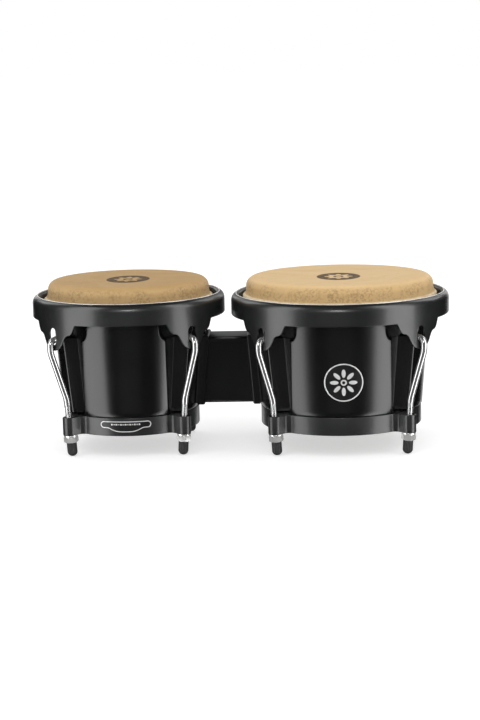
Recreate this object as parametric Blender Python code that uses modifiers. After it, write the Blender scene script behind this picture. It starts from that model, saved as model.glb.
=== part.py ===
"""Bongo drums: a small drum (macho) and a large one (hembra) bolted to a hollow centre block.

Metres, +Z up. The drums stand on eight rubber-tipped tuning hooks at Z = 0, side by side along X,
with the macho at -X and the player at -Y. The origin is the middle of the footprint.

Every radius is written for the hembra. The macho's is smaller by its `shrink`.
"""

import math
from dataclasses import dataclass

import bmesh
import bpy
from mathutils import Matrix, Vector

# Driving dimensions
AXIS_DISTANCE = 0.216  # between the two drums' centre lines
SIZE_STEP = 0.0127  # a 190.5 mm head and a 165.1 mm head, as radii
STEPS = 40  # facets round every large turned part
SMALL_STEPS = 12  # facets round every fastener
GAP = 0.0003  # between two pieces that touch
HEAD_TOP = 0.1728

RIM_RADIUS = 0.1109
RIM_SHEET = 0.0016
RIM_SHOULDER = 0.0058  # radius of the rim's rounded outer shoulder
RIM_LIP = 0.0026  # radius of the roll from the crown down into the lip
RIM_HEIGHT = 0.0212  # of the plain band, between the ears
RIM_LIP_BOTTOM = 0.0125  # above the band's lower edge
EAR_DROP = 0.027  # ear tip below the band's lower edge
EAR_HOLE_TOP = 0.0040
EAR_HOLE_BOTTOM = 0.0214
EAR_HOLE_RADIUS = 0.0054
EAR_BLANK = 0.0010  # how far the sheet reaches below the ears before they are cut from it
EAR_NOSE = 0.0166  # radius of the wide arc at the ear's tip
EAR_NOSE_REACH = 36  # degrees of that arc, from the tip to each side
EAR_SIDE = (  # (half width, height over the band's edge): two scallops with a step between them
    (0.0300, 0.0050),
    (0.0300, 0.0000),
    (0.0285, -0.0030),
    (0.0262, -0.0078),
    (0.0235, -0.0102),
    (0.0195, -0.0110),
    (0.0168, -0.0130),
    (0.0146, -0.0168),
    (0.0124, -0.0208),
)
RIM_REACH = 0.0300  # thickness of what cuts the rim, square to it

RING_RADIUS = 0.08215
RING_SHEET = 0.0018
RING_BOTTOM = 0.0221
RING_TOP = 0.0404
RING_LIP = 0.0075
LUG_RADIUS = 0.0948  # of the lug noses' centres from the drum's axis
LUG_NOSE = 0.0065
LUG_BASE = 0.0079  # half width where a lug meets the ring
LUG_SINK = 0.0012  # how far a lug reaches into the ring's sheet
LUG_SEAT = 0.0226  # height of the washer's seat on the rod's centre line
SEAT_RADIUS = 0.0078

SHELL_COLLAR_RADIUS = 0.0800  # the part that sits inside the ring
SHELL_RADIUS = 0.0830  # just above the ring
SHELL_TAPER = 0.08  # the cone's radius gained per metre of height
SHELL_SHOULDER = 0.1640  # top of the plain cone, where the bearing edge starts
SHELL_WALL = 0.0050
CHANNEL_FLOOR = 0.0716  # from the drum's axis, square to the diagonal, at the cone's foot
CHANNEL_LEAN = 0.05  # the distance that a channel's floor gains per metre of height
PANEL_HALF = 0.0500  # half width of the panels between the channels
POCKET_FLOOR = 0.0708
POCKET_STEP = 0.0055  # how much wider a channel is beside an ear
POCKET_DROP = 0.0190
POCKET_ROUND = 0.0100
CHANNEL_TOP = 0.1480
EDGE_WIDTH = 0.0072  # of the rounded bearing edge
EDGE_HEIGHT = 0.0067
SHELL_FOOT = 0.0410  # bottom of the cone, clear of the ring

SKIN = 0.0018
SKIN_COLLAR_RADIUS = 0.0986
SKIN_FLARE_RADIUS = 0.0962
SKIN_FLARE_START = 0.1585
SKIN_FLARE_END = 0.1545  # where the flared collar turns straight down
SKIN_TUCK = 0.0040  # the skin's lower end, above the rim's band edge
HOOP_WIDTH = 0.0052
HOOP_HEIGHT = 0.0060
HOOP_CHAMFER = 0.0015

ROD_RADIUS = 0.0032
ROD_SLOPE = 0.085  # the threaded lower rod leans in towards its foot
ROD_FOOT_RADIUS = 0.0917  # radius of the rod's centre line where it would meet Z = 0
HOOK_OUT = 0.0037  # rod's centre line outside the rim
HOOK_REACH = 0.0115  # the hook's tip, inwards from that line
HOOK_TIP_DROP = 0.0147  # heights of the hook's bends, below the band's edge
HOOK_BEND_DROP = 0.0177
HOOK_LEAN_DROP = 0.0285
HOOK_THREAD_DROP = 0.0785
HOOK_BENDS = (0.006, 0.020, 0.030)  # radii of those three bends
BORE_RADIUS = 0.0038
NUT_BOTTOM = 0.0146
NUT_HEIGHT = 0.0060
NUT_FLATS = 0.0130
WASHER_HEIGHT = 0.0014
WASHER_RADIUS = 0.0072
ROD_END = 0.0045
FOOT_RADIUS = 0.0051
FOOT_DOME = 0.0045  # height where the straight side turns into the dome
FOOT_TOP = NUT_BOTTOM - GAP
FOOT_DIP = 0.0004  # of the tip's dome that is worn flat
FOOT_CHAMFER = 0.0006

BLOCK_BOTTOM = 0.0456
BLOCK_TOP = 0.1136
BLOCK_HALF_DEPTH = 0.0205
BLOCK_WALL = 0.0040
BLOCK_ROUND = 0.0025  # of the block's edges
SADDLE_LAP = 0.0018  # how far a saddle stands proud of the block
SADDLE_THICKNESS = 0.0042  # where it is thinnest
SADDLE_ROUND = 0.0015
SADDLE_BLANK = 0.0160  # of a saddle before the drum's side is cut from it
GASKET = 0.0020
BOLT_RADIUS = 0.0030
BOLT_HEIGHTS = (0.064, 0.095)
BOLT_LENGTH = 0.0198
BOLT_HEAD_HEIGHT = 0.0042
BOLT_HEAD_RADIUS = 0.0054
BOLT_FLANGE_RADIUS = 0.0070
BOLT_FLANGE_HEIGHT = 0.0010
BOLT_CHAMFER = 0.0008
BOLT_HOLE_REACH = 0.0300
BOLT_STANDOFF = 0.0013  # under the head, over the shell's curve
BOLT_NUT_FLATS = 0.0100
BOLT_NUT_HEIGHT = 0.0050
NUT_STANDOFF = 0.0008  # over the saddle's lean

BADGE_RADIUS = 0.0192
BADGE_HEIGHT = 0.0766
BADGE_TURN = math.radians(1.3)  # it is stuck on slightly right of the middle
BADGE_THICKNESS = 0.0012
BADGE_BLANK = 0.0236  # half height of the band that the badge is cut from
LABEL_HALF_WIDTH = 0.0257
LABEL_HEIGHT = 0.0305
LABEL_END = 0.0034  # radius of the label's ends
LABEL_BELLY = 0.0175  # half width of the bulge below the label
LABEL_BELLY_DROP = 0.0041
LABEL_THICKNESS = 0.0008
LABEL_MARGIN = 0.0020  # between the ring's edges and the band that the label is cut from
FLOOR_HALF = 0.3
FLOOR_DEPTH = 0.01
SMOOTH_ANGLE = math.radians(35)  # edges that turn more than this stay sharp

LUG_ANGLES = [math.radians(a) for a in (225, 315, 45, 135)]


@dataclass
class Drum:
    """One drum: its name, the X of its axis, how much smaller it is, and its rim's height."""

    name: str
    x: float
    shrink: float
    rim_bottom: float
    block_side: int  # +1 where the block is at +X of this drum

    def r(self, radius):
        return radius - self.shrink

    def shell_r(self, z):
        return self.r(SHELL_RADIUS + SHELL_TAPER * (z - RING_TOP))

    @property
    def origin(self):
        return Vector((self.x, 0, 0))

    def scaled(self, length):
        """A length that shrinks in proportion with the shell."""
        return length * self.r(SHELL_RADIUS) / SHELL_RADIUS


HALF_WIDTH = (AXIS_DISTANCE + 2 * RIM_RADIUS - SIZE_STEP) / 2
MACHO = Drum("macho", RIM_RADIUS - SIZE_STEP - HALF_WIDTH, SIZE_STEP, 0.1370, 1)
HEMBRA = Drum("hembra", HALF_WIDTH - RIM_RADIUS, 0.0, 0.1350, -1)
DRUMS = (MACHO, HEMBRA)


# Scene, collections and materials


def clear_scene():
    for obj in list(bpy.data.objects):
        bpy.data.objects.remove(obj, do_unlink=True)


def new_collection(name):
    collection = bpy.data.collections.new(name)
    bpy.context.scene.collection.children.link(collection)
    return collection


def material(name, colour, roughness, metallic=0.0):
    made = bpy.data.materials.new(name)
    made.use_nodes = True
    shader = made.node_tree.nodes["Principled BSDF"]
    shader.inputs["Base Color"].default_value = (*colour, 1)
    shader.inputs["Roughness"].default_value = roughness
    shader.inputs["Metallic"].default_value = metallic
    return made


clear_scene()
PARTS = new_collection("bongo_drums")
CUTTERS = new_collection("cutters")
BLACK_ABS = material("black_abs", (0.012, 0.012, 0.013), 0.28)
BLACK_STEEL = material("black_steel", (0.030, 0.031, 0.032), 0.42)
BLOCK_ABS = material("block_abs", (0.014, 0.014, 0.015), 0.50)
SKIN_TAN = material("skin_tan", (0.58, 0.41, 0.22), 0.55)
CHROME = material("chrome", (0.78, 0.78, 0.78), 0.12, 1.0)
ZINC = material("zinc_steel", (0.55, 0.55, 0.56), 0.35, 1.0)
RUBBER = material("black_rubber", (0.018, 0.018, 0.019), 0.80)
SILVER = material("badge_silver", (0.62, 0.62, 0.62), 0.30, 0.9)


# Modelling helpers


def add_part(name, data, surface, parent, at=(0, 0, 0), turn=(0, 0, 0)):
    """A sub-part's object. Its location and rotation are its parent's, where it has one."""
    obj = bpy.data.objects.new(name, data)
    PARTS.objects.link(obj)
    obj.parent = parent
    obj.location = at
    obj.rotation_euler = turn
    if surface.name not in data.materials:
        data.materials.append(surface)
    return obj


def add_cutter(name, data, parent=None, at=(0, 0, 0), turn=(0, 0, 0)):
    obj = bpy.data.objects.new(name, data)
    CUTTERS.objects.link(obj)
    obj.parent = parent
    obj.location = at
    obj.rotation_euler = turn
    obj.hide_render = True
    obj.display_type = "WIRE"
    return obj


def add_group(name, parent=None, at=(0, 0, 0)):
    empty = bpy.data.objects.new(name, None)
    PARTS.objects.link(empty)
    empty.parent = parent
    empty.location = at
    return empty


def profile(name, points, closed=True):
    """A mesh of edges through (radius, z) points, to be turned about Z."""
    mesh = bpy.data.meshes.new(name)
    count = len(points)
    edges = [(i, (i + 1) % count) for i in range(count if closed else count - 1)]
    mesh.from_pydata([(radius, 0, z) for radius, z in points], edges, [])
    return mesh


def turn_profile(obj, steps=STEPS):
    """Screws a profile round its Z axis. The profile runs down its outer side."""
    screw = obj.modifiers.new("turn", "SCREW")
    screw.axis = "Z"
    screw.angle = math.tau
    screw.steps = steps
    screw.render_steps = steps
    screw.use_merge_vertices = True
    screw.merge_threshold = 0.00001
    screw.use_smooth_shade = False
    return obj


def thicken(obj, thickness):
    """Makes a sheet of an open surface, with the thickness on its inner side."""
    sheet = obj.modifiers.new("sheet", "SOLIDIFY")
    sheet.thickness = thickness
    sheet.offset = -1
    sheet.use_even_offset = True
    return obj


def smooth_by_angle():
    """A node group that shades faces smooth and keeps the edges over SMOOTH_ANGLE sharp."""
    tree = bpy.data.node_groups.new("smooth_by_angle", "GeometryNodeTree")
    tree.interface.new_socket("Geometry", in_out="INPUT", socket_type="NodeSocketGeometry")
    tree.interface.new_socket("Geometry", in_out="OUTPUT", socket_type="NodeSocketGeometry")
    shape = tree.nodes.new("NodeGroupInput")
    result = tree.nodes.new("NodeGroupOutput")
    faces = tree.nodes.new("GeometryNodeSetShadeSmooth")
    edges = tree.nodes.new("GeometryNodeSetShadeSmooth")
    edges.domain = "EDGE"
    angle = tree.nodes.new("GeometryNodeInputMeshEdgeAngle")
    gentle = tree.nodes.new("FunctionNodeCompare")
    gentle.operation = "LESS_THAN"
    gentle.inputs["B"].default_value = SMOOTH_ANGLE
    tree.links.new(angle.outputs["Unsigned Angle"], gentle.inputs["A"])
    tree.links.new(gentle.outputs["Result"], edges.inputs["Shade Smooth"])
    tree.links.new(shape.outputs["Geometry"], faces.inputs["Geometry"])
    tree.links.new(faces.outputs["Geometry"], edges.inputs["Geometry"])
    tree.links.new(edges.outputs["Geometry"], result.inputs["Geometry"])
    return tree


def boolean(obj, operation, operand):
    modifier = obj.modifiers.new(f"{operation.lower()} {operand.name}", "BOOLEAN")
    modifier.operation = operation
    modifier.object = operand
    return obj


def bevel(obj, width, segments=2):
    modifier = obj.modifiers.new("edges", "BEVEL")
    modifier.width = width
    modifier.segments = segments
    modifier.limit_method = "ANGLE"
    return obj


def arc(centre, radius, start, end, steps, squash=1.0):
    """Points on an arc, in degrees. squash scales its second axis, which makes it an ellipse."""
    points = []
    for i in range(steps + 1):
        angle = math.radians(start + (end - start) * i / steps)
        points.append(
            (centre[0] + radius * math.cos(angle), centre[1] + radius * squash * math.sin(angle))
        )
    return points


def plate(name, outlines, thickness, transform=Matrix()):
    """A flat plate centred on Z = 0, from its outline and any outlines of holes in it, then moved."""
    curve = bpy.data.curves.new(name, "CURVE")
    curve.dimensions = "2D"
    curve.fill_mode = "BOTH"
    curve.extrude = thickness / 2
    for outline in outlines:
        spline = curve.splines.new("POLY")
        spline.points.add(len(outline) - 1)
        for point, (x, y) in zip(spline.points, outline):
            point.co = (x, y, 0, 1)
        spline.use_cyclic_u = True
    flat = bpy.data.objects.new(name, curve)
    bpy.context.scene.collection.objects.link(flat)
    bpy.context.view_layer.update()
    evaluated = flat.evaluated_get(bpy.context.evaluated_depsgraph_get())
    mesh = bpy.data.meshes.new_from_object(evaluated)
    bpy.data.objects.remove(flat, do_unlink=True)
    mesh.transform(transform)
    work = bmesh.new()
    work.from_mesh(mesh)
    bmesh.ops.remove_doubles(work, verts=work.verts, dist=0.00001)
    bmesh.ops.recalc_face_normals(work, faces=work.faces)
    work.to_mesh(mesh)
    work.free()
    return mesh


def repeated(name, mesh, turns):
    """One mesh that holds a copy of the given mesh at each turn about Z."""
    work = bmesh.new()
    for turn in turns:
        copy = mesh.copy()
        copy.transform(Matrix.Rotation(turn, 4, "Z"))
        work.from_mesh(copy)
        bpy.data.meshes.remove(copy)
    made = bpy.data.meshes.new(name)
    work.to_mesh(made)
    work.free()
    return made


def box_mesh(name, low, high):
    size = Vector(high) - Vector(low)
    middle = (Vector(high) + Vector(low)) / 2
    work = bmesh.new()
    bmesh.ops.create_cube(work, size=1, matrix=Matrix.LocRotScale(middle, None, size))
    mesh = bpy.data.meshes.new(name)
    work.to_mesh(mesh)
    work.free()
    return mesh


def hexagon(flats):
    return arc((0, 0), flats / math.sqrt(3), 0, 300, 5)


def circle(radius):
    return arc((0, 0), radius, 0, 360 - 360 / SMALL_STEPS, SMALL_STEPS - 1)


# A plate's (x, y) becomes (across, up), and its thickness runs out from the drum's axis, at +X.
FACING_OUT = Matrix(((0, 0, 1, 0), (1, 0, 0, 0), (0, 1, 0, 0), (0, 0, 0, 1)))
# A plate's (x, y) becomes (X, Z), and its thickness runs along Y.
FACING_FRONT = Matrix.Rotation(math.radians(90), 4, "X")


# Shell


def shell_profile(drum):
    """The shell as if solid: bearing edge, cone, then the part that sits in the ring."""
    shoulder = drum.shell_r(SHELL_SHOULDER)
    edge = arc(
        (shoulder - EDGE_WIDTH, SHELL_SHOULDER), EDGE_WIDTH, 90, 0, 3, EDGE_HEIGHT / EDGE_WIDTH
    )
    foot = RING_BOTTOM + RING_SHEET + GAP
    return [
        (0, SHELL_SHOULDER + EDGE_HEIGHT),
        *edge,
        (drum.r(SHELL_RADIUS), SHELL_FOOT),
        (drum.r(SHELL_COLLAR_RADIUS), SHELL_FOOT),
        (drum.r(SHELL_COLLAR_RADIUS), foot),
        (0, foot),
    ]


def shell_bore_profile(drum):
    """The hollow of the shell, from above the bearing edge to below the ring."""
    inside = [
        (drum.shell_r(HEAD_TOP) - SHELL_WALL, HEAD_TOP),
        (drum.r(SHELL_RADIUS) - SHELL_WALL, SHELL_FOOT),
        (drum.r(SHELL_COLLAR_RADIUS) - SHELL_WALL, SHELL_FOOT - SHELL_WALL),
        (drum.r(SHELL_COLLAR_RADIUS) - SHELL_WALL, 0),
    ]
    return [(0, HEAD_TOP), *inside, (0, 0)]


def channel(name, drum, half, floor_distance, grow, low, high):
    """A corner prism between the panels, at all four diagonals: grow makes it larger all round.
    Its floor leans outwards with the cone."""
    side = half - grow
    floor = (drum.scaled(floor_distance) - grow) * math.sqrt(2) - side
    far = drum.r(RIM_RADIUS)
    outline = [(side, floor), (floor, side), (far, side), (far, far), (side, far)]
    move = Matrix.Translation((0, 0, (low + high) / 2))
    corner = plate(name, [outline], high - low, move)
    for vertex in corner.vertices:
        lean = math.sqrt(2) * CHANNEL_LEAN * (vertex.co.z - SHELL_FOOT)
        for along, across in ((0, 1), (1, 0)):
            if vertex.co[along] < side + GAP / 10 and vertex.co[across] < floor + GAP / 10:
                vertex.co[across] += lean
                break
    return repeated(name, corner, [math.radians(a) for a in (0, 90, 180, 270)])


def make_shell(drum, group, bolt_holes):
    name = drum.name
    shell = turn_profile(
        add_part(f"{name}_shell", profile("shell", shell_profile(drum), False), BLACK_ABS, group)
    )
    bore = turn_profile(
        add_cutter(f"{name}_bore", profile("bore", shell_bore_profile(drum), False), group)
    )
    pocket_low = drum.rim_bottom - POCKET_DROP
    panel_half = drum.scaled(PANEL_HALF)
    for label, half, floor, low, high in (
        ("channel", panel_half, CHANNEL_FLOOR, SHELL_FOOT, CHANNEL_TOP - SHELL_WALL),
        ("pocket", panel_half - POCKET_STEP, POCKET_FLOOR, pocket_low, CHANNEL_TOP),
    ):
        liner = channel(label, drum, half, floor, SHELL_WALL, low - SHELL_WALL, high + SHELL_WALL)
        boolean(bore, "DIFFERENCE", add_cutter(f"{name}_{label}_liner", liner, group))
        cut = add_cutter(
            f"{name}_{label}", channel(label, drum, half, floor, 0, low, high), group
        )
        if label == "pocket":
            bevel(cut, POCKET_ROUND)
        boolean(shell, "DIFFERENCE", cut)
    boolean(shell, "DIFFERENCE", bore)
    boolean(shell, "DIFFERENCE", bolt_holes)


# Head, flesh hoop and rim


def make_head(drum, group):
    """The skin: a flat top, over the bearing edge, and down a flared collar inside the hoop."""
    shoulder = drum.shell_r(SHELL_SHOULDER)
    over = SKIN + GAP
    edge = arc(
        (shoulder - EDGE_WIDTH, SHELL_SHOULDER),
        EDGE_WIDTH + over,
        90,
        0,
        3,
        (EDGE_HEIGHT + over) / (EDGE_WIDTH + over),
    )
    collar = drum.r(SKIN_COLLAR_RADIUS)
    points = [
        (0, HEAD_TOP),
        *edge,
        (drum.r(SKIN_FLARE_RADIUS), SKIN_FLARE_START),
        (collar, SKIN_FLARE_END),
        (collar, drum.rim_bottom + SKIN_TUCK),
    ]
    head = add_part(f"{drum.name}_head", profile("head", points, False), SKIN_TAN, group)
    thicken(turn_profile(head), SKIN)


def make_flesh_hoop(drum, group):
    inner = drum.r(SKIN_COLLAR_RADIUS) + GAP
    outer = inner + HOOP_WIDTH
    high = drum.rim_bottom + RIM_LIP_BOTTOM - GAP
    low = high - HOOP_HEIGHT
    points = [
        (outer - HOOP_CHAMFER, high),
        (outer, high - HOOP_CHAMFER),
        (outer, low + HOOP_CHAMFER),
        (outer - HOOP_CHAMFER, low),
        (inner, low),
        (inner, high),
    ]
    turn_profile(add_part(f"{drum.name}_flesh_hoop", profile("hoop", points), ZINC, group))


def rim_line(drum):
    """The outer face of the rim's sheet: up the lip, over the crown and down the band and ears."""
    outer = drum.r(RIM_RADIUS)
    crown = drum.rim_bottom + RIM_HEIGHT
    middle = outer - RIM_SHOULDER
    return [
        (middle - RIM_LIP, drum.rim_bottom + RIM_LIP_BOTTOM),
        *arc((middle, crown - RIM_LIP), RIM_LIP, 180, 90, 2),
        *arc((middle, crown - RIM_SHOULDER), RIM_SHOULDER, 90, 0, 3)[1:],
        (outer, drum.rim_bottom - EAR_DROP - EAR_BLANK),
    ]


def ear_outline():
    """An ear below the band's edge, which is at y = 0, down to its round tip."""
    nose = arc((0, EAR_NOSE - EAR_DROP), EAR_NOSE, EAR_NOSE_REACH - 90, -90, 3)
    right = [*EAR_SIDE, *nose]
    left = [(-x, y) for x, y in reversed(right[:-1])]
    return right + left


def make_rim(drum, group):
    name = drum.name
    outer = drum.r(RIM_RADIUS)
    bottom = drum.rim_bottom
    at_band_edge = Matrix.Translation((outer, 0, bottom)) @ FACING_OUT

    ears = add_cutter(
        f"{name}_ears",
        repeated("ears", plate("ear", [ear_outline()], RIM_REACH, at_band_edge), LUG_ANGLES),
        group,
    )
    gaps = [
        (outer + RIM_SHOULDER, bottom),
        (outer + RIM_SHOULDER, bottom - 2 * EAR_DROP),
        (outer - RIM_SHOULDER, bottom - 2 * EAR_DROP),
        (outer - RIM_SHOULDER, bottom),
    ]
    between_ears = turn_profile(add_cutter(f"{name}_between_ears", profile("gaps", gaps), group))
    boolean(between_ears, "DIFFERENCE", ears)

    upper = arc((0, -EAR_HOLE_TOP - EAR_HOLE_RADIUS), EAR_HOLE_RADIUS, 0, 180, 6)
    lower = arc((0, -EAR_HOLE_BOTTOM + EAR_HOLE_RADIUS), EAR_HOLE_RADIUS, 180, 360, 6)
    slot = plate("ear_hole", [upper + lower], RIM_REACH, at_band_edge)
    holes = add_cutter(f"{name}_ear_holes", repeated("ear_holes", slot, LUG_ANGLES), group)

    rim = add_part(f"{name}_rim", profile("rim", rim_line(drum), False), BLACK_STEEL, group)
    thicken(turn_profile(rim), RIM_SHEET)
    boolean(rim, "DIFFERENCE", between_ears)
    boolean(rim, "DIFFERENCE", holes)


# Bottom ring, hooks and their hardware


def rod_place(drum, z):
    """A point on the centre line of the rod's threaded part, as (radius, height)."""
    return drum.r(ROD_FOOT_RADIUS) + ROD_SLOPE * z, z


def on_rod(drum, z, angle):
    """Location and rotation that put an object's Z axis on one rod's threaded part."""
    radius, height = rod_place(drum, z)
    at = Matrix.Rotation(angle, 3, "Z") @ Vector((radius, 0, height))
    return at, (0, math.atan(ROD_SLOPE), angle)


def make_bottom_ring(drum, group):
    """A turned steel band with a lip under the shell's edge, and four lugs for the rods."""
    name = drum.name
    outer = drum.r(RING_RADIUS)
    line = [(outer, RING_TOP), (outer, RING_BOTTOM), (outer - RING_LIP, RING_BOTTOM)]
    ring = add_part(f"{name}_bottom_ring", profile("ring", line, False), BLACK_STEEL, group)
    thicken(turn_profile(ring), RING_SHEET)

    base = outer - LUG_SINK
    nose = arc((drum.r(LUG_RADIUS), 0), LUG_NOSE, -84, 84, 7)
    lug = plate(
        "lug",
        [[(base, -LUG_BASE), *nose, (base, LUG_BASE)]],
        RING_TOP - RING_BOTTOM,
        Matrix.Translation((0, 0, (RING_TOP + RING_BOTTOM) / 2)),
    )
    boolean(ring, "UNION", add_cutter(f"{name}_lugs", repeated("lugs", lug, LUG_ANGLES), group))

    # The bore follows the leaning rod, and the seat for its washer is square to it.
    steps = [
        (0, RING_TOP),
        (BORE_RADIUS, RING_TOP),
        (BORE_RADIUS, 0),
        (SEAT_RADIUS, 0),
        (SEAT_RADIUS, -RING_BOTTOM / 2),
        (0, -RING_BOTTOM / 2),
    ]
    for i, angle in enumerate(LUG_ANGLES, 1):
        at, turn = on_rod(drum, LUG_SEAT, angle)
        bore = add_cutter(f"{name}_lug_bore_{i}", profile("lug_bore", steps, False), group, at, turn)
        boolean(ring, "DIFFERENCE", turn_profile(bore, SMALL_STEPS))


def rounded_path(corners, radii, steps):
    """A path through 2D corners, each inner corner replaced by an arc of its radius."""
    path = [corners[0]]
    for before, corner, after, radius in zip(corners, corners[1:], corners[2:], radii):
        corner = Vector(corner)
        back = (Vector(before) - corner).normalized()
        ahead = (Vector(after) - corner).normalized()
        half = back.angle(ahead) / 2
        centre = corner + (back + ahead).normalized() * radius / math.sin(half)
        start = corner + back * radius / math.tan(half) - centre
        end = corner + ahead * radius / math.tan(half) - centre
        for i in range(steps + 1):
            path.append(tuple(centre + start.slerp(end, i / steps).normalized() * radius))
    return path + [corners[-1]]


def hook_curve(drum):
    """A bent rod in the XZ plane: in through the ear, down outside it, in again, then the thread."""
    outside = drum.r(RIM_RADIUS) + HOOK_OUT
    bottom = drum.rim_bottom
    corners = [
        (outside - HOOK_REACH, bottom - HOOK_TIP_DROP),
        (outside, bottom - HOOK_BEND_DROP),
        (outside, bottom - HOOK_LEAN_DROP),
        rod_place(drum, bottom - HOOK_THREAD_DROP),
        rod_place(drum, ROD_END),
    ]
    curve = bpy.data.curves.new("hook", "CURVE")
    curve.dimensions = "3D"
    curve.bevel_depth = ROD_RADIUS
    curve.bevel_resolution = 2
    curve.use_fill_caps = True
    path = rounded_path(corners, HOOK_BENDS, 3)
    spline = curve.splines.new("POLY")
    spline.points.add(len(path) - 1)
    for point, (radius, z) in zip(spline.points, path):
        point.co = (radius, 0, z, 1)
    return curve


def foot_profile():
    """A rubber tip: a blind hole for the rod, straight sides and a domed end."""
    dome = arc((0, FOOT_DOME), FOOT_RADIUS, 0, -90, 3, (FOOT_DOME + FOOT_DIP) / FOOT_RADIUS)
    hole = ROD_RADIUS + GAP
    return [
        (0, ROD_END - GAP),
        (hole, ROD_END - GAP),
        (hole, FOOT_TOP),
        (FOOT_RADIUS - FOOT_CHAMFER, FOOT_TOP),
        (FOOT_RADIUS, FOOT_TOP - FOOT_CHAMFER),
        *dome,
    ]


def make_tuning_hardware(drum, group, moving, floor):
    """A hook, washer, nut and rubber tip at each ear. The hooks and tips move with the rim."""
    name = drum.name
    hook = hook_curve(drum)
    nut = plate(
        "tuning_nut",
        [hexagon(NUT_FLATS), circle(BORE_RADIUS)],
        NUT_HEIGHT,
        Matrix.Translation((0, 0, NUT_HEIGHT / 2)),
    )
    ring = [
        (WASHER_RADIUS, WASHER_HEIGHT),
        (WASHER_RADIUS, 0),
        (BORE_RADIUS, 0),
        (BORE_RADIUS, WASHER_HEIGHT),
    ]
    washer = profile("tuning_washer", ring)
    tip = profile("rod_tip", foot_profile(), False)
    for i, angle in enumerate(LUG_ANGLES, 1):
        add_part(f"{name}_hook_{i}", hook, CHROME, moving, turn=(0, 0, angle))
        add_part(f"{name}_nut_{i}", nut, CHROME, group, *on_rod(drum, NUT_BOTTOM, angle))
        seat = on_rod(drum, LUG_SEAT - GAP - WASHER_HEIGHT, angle)
        turn_profile(add_part(f"{name}_washer_{i}", washer, CHROME, group, *seat), SMALL_STEPS)
        foot = add_part(f"{name}_foot_{i}", tip, RUBBER, moving, *on_rod(drum, 0, angle))
        boolean(turn_profile(foot, SMALL_STEPS), "DIFFERENCE", floor)


# Centre block and what bolts it on


def saddle_face(drum, z, sunk=0):
    """X of a saddle's inner face, which leans with the drum's side, or of one sunk into it."""
    return drum.x + drum.block_side * (drum.shell_r(z) + GASKET + SADDLE_THICKNESS - sunk)


def cone_solid(drum, clearance, low, high):
    """A profile of the shell's cone, larger by the clearance."""
    return [
        (0, high),
        (drum.shell_r(high) + clearance, high),
        (drum.shell_r(low) + clearance, low),
        (0, low),
    ]


def make_center_block(groups, bolt_holes):
    """A hollow block, open at the rear, with a rib across it and a saddle at each end."""
    low, high = BLOCK_BOTTOM, BLOCK_TOP
    outline = [
        (saddle_face(MACHO, high, SADDLE_LAP), high),
        (saddle_face(MACHO, low, SADDLE_LAP), low),
        (saddle_face(HEMBRA, low, SADDLE_LAP), low),
        (saddle_face(HEMBRA, high, SADDLE_LAP), high),
    ]
    body = plate("center_block", [outline], 2 * BLOCK_HALF_DEPTH, FACING_FRONT)
    block = bevel(add_part("center_block", body, BLOCK_ABS, None), BLOCK_ROUND)

    for drum in DRUMS:
        low, high = BLOCK_BOTTOM - SADDLE_LAP, BLOCK_TOP + SADDLE_LAP
        reach = -drum.block_side * SADDLE_BLANK
        outline = [
            (saddle_face(drum, BLOCK_TOP, GAP), high),
            (saddle_face(drum, BLOCK_TOP), BLOCK_TOP),
            (saddle_face(drum, low), low),
            (saddle_face(drum, low) + reach, low),
            (saddle_face(drum, high) + reach, high),
        ]
        mesh = plate("saddle", [outline], 2 * (BLOCK_HALF_DEPTH + SADDLE_LAP), FACING_FRONT)
        boolean(block, "UNION", bevel(add_cutter(f"{drum.name}_saddle", mesh), SADDLE_ROUND))

    middle = (BLOCK_BOTTOM + BLOCK_TOP) / 2
    cells = (
        ("lower", BLOCK_BOTTOM + BLOCK_WALL, middle - BLOCK_WALL / 2),
        ("upper", middle + BLOCK_WALL / 2, BLOCK_TOP - BLOCK_WALL),
    )
    depth = 2 * BLOCK_HALF_DEPTH
    for name, low, high in cells:
        outline = [
            (saddle_face(MACHO, high, GAP), high),
            (saddle_face(MACHO, low, GAP), low),
            (saddle_face(HEMBRA, low, GAP), low),
            (saddle_face(HEMBRA, high, GAP), high),
        ]
        move = Matrix.Translation((0, BLOCK_WALL, 0))
        mesh = plate("cell", [outline], depth, move @ FACING_FRONT)
        boolean(block, "DIFFERENCE", add_cutter(f"{name}_cell", mesh))

    for drum, group, holes in zip(DRUMS, groups, bolt_holes):
        cone = profile("cone", cone_solid(drum, GASKET, RING_TOP, drum.rim_bottom), False)
        side = turn_profile(add_cutter(f"{drum.name}_side", cone, group))
        boolean(block, "DIFFERENCE", side)
        boolean(block, "DIFFERENCE", holes)


def make_gasket(drum, group, bolt_holes):
    """A rubber sheet between a saddle and the shell."""
    low, high = BLOCK_BOTTOM, BLOCK_TOP
    sheet = [
        (drum.shell_r(high) + GASKET - GAP, high),
        (drum.shell_r(low) + GASKET - GAP, low),
        (drum.shell_r(low) + GAP, low),
        (drum.shell_r(high) + GAP, high),
    ]
    gasket = turn_profile(
        add_part(f"{drum.name}_block_gasket", profile("gasket", sheet), RUBBER, group)
    )
    reach = drum.block_side * drum.r(RIM_RADIUS)
    xs = sorted((0, reach))
    mesh = box_mesh(
        "gasket_area",
        (xs[0], -BLOCK_HALF_DEPTH, BLOCK_BOTTOM - SADDLE_LAP),
        (xs[1], BLOCK_HALF_DEPTH, BLOCK_TOP + SADDLE_LAP),
    )
    boolean(gasket, "INTERSECT", add_cutter(f"{drum.name}_gasket_area", mesh, group))
    boolean(gasket, "DIFFERENCE", bolt_holes)


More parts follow.
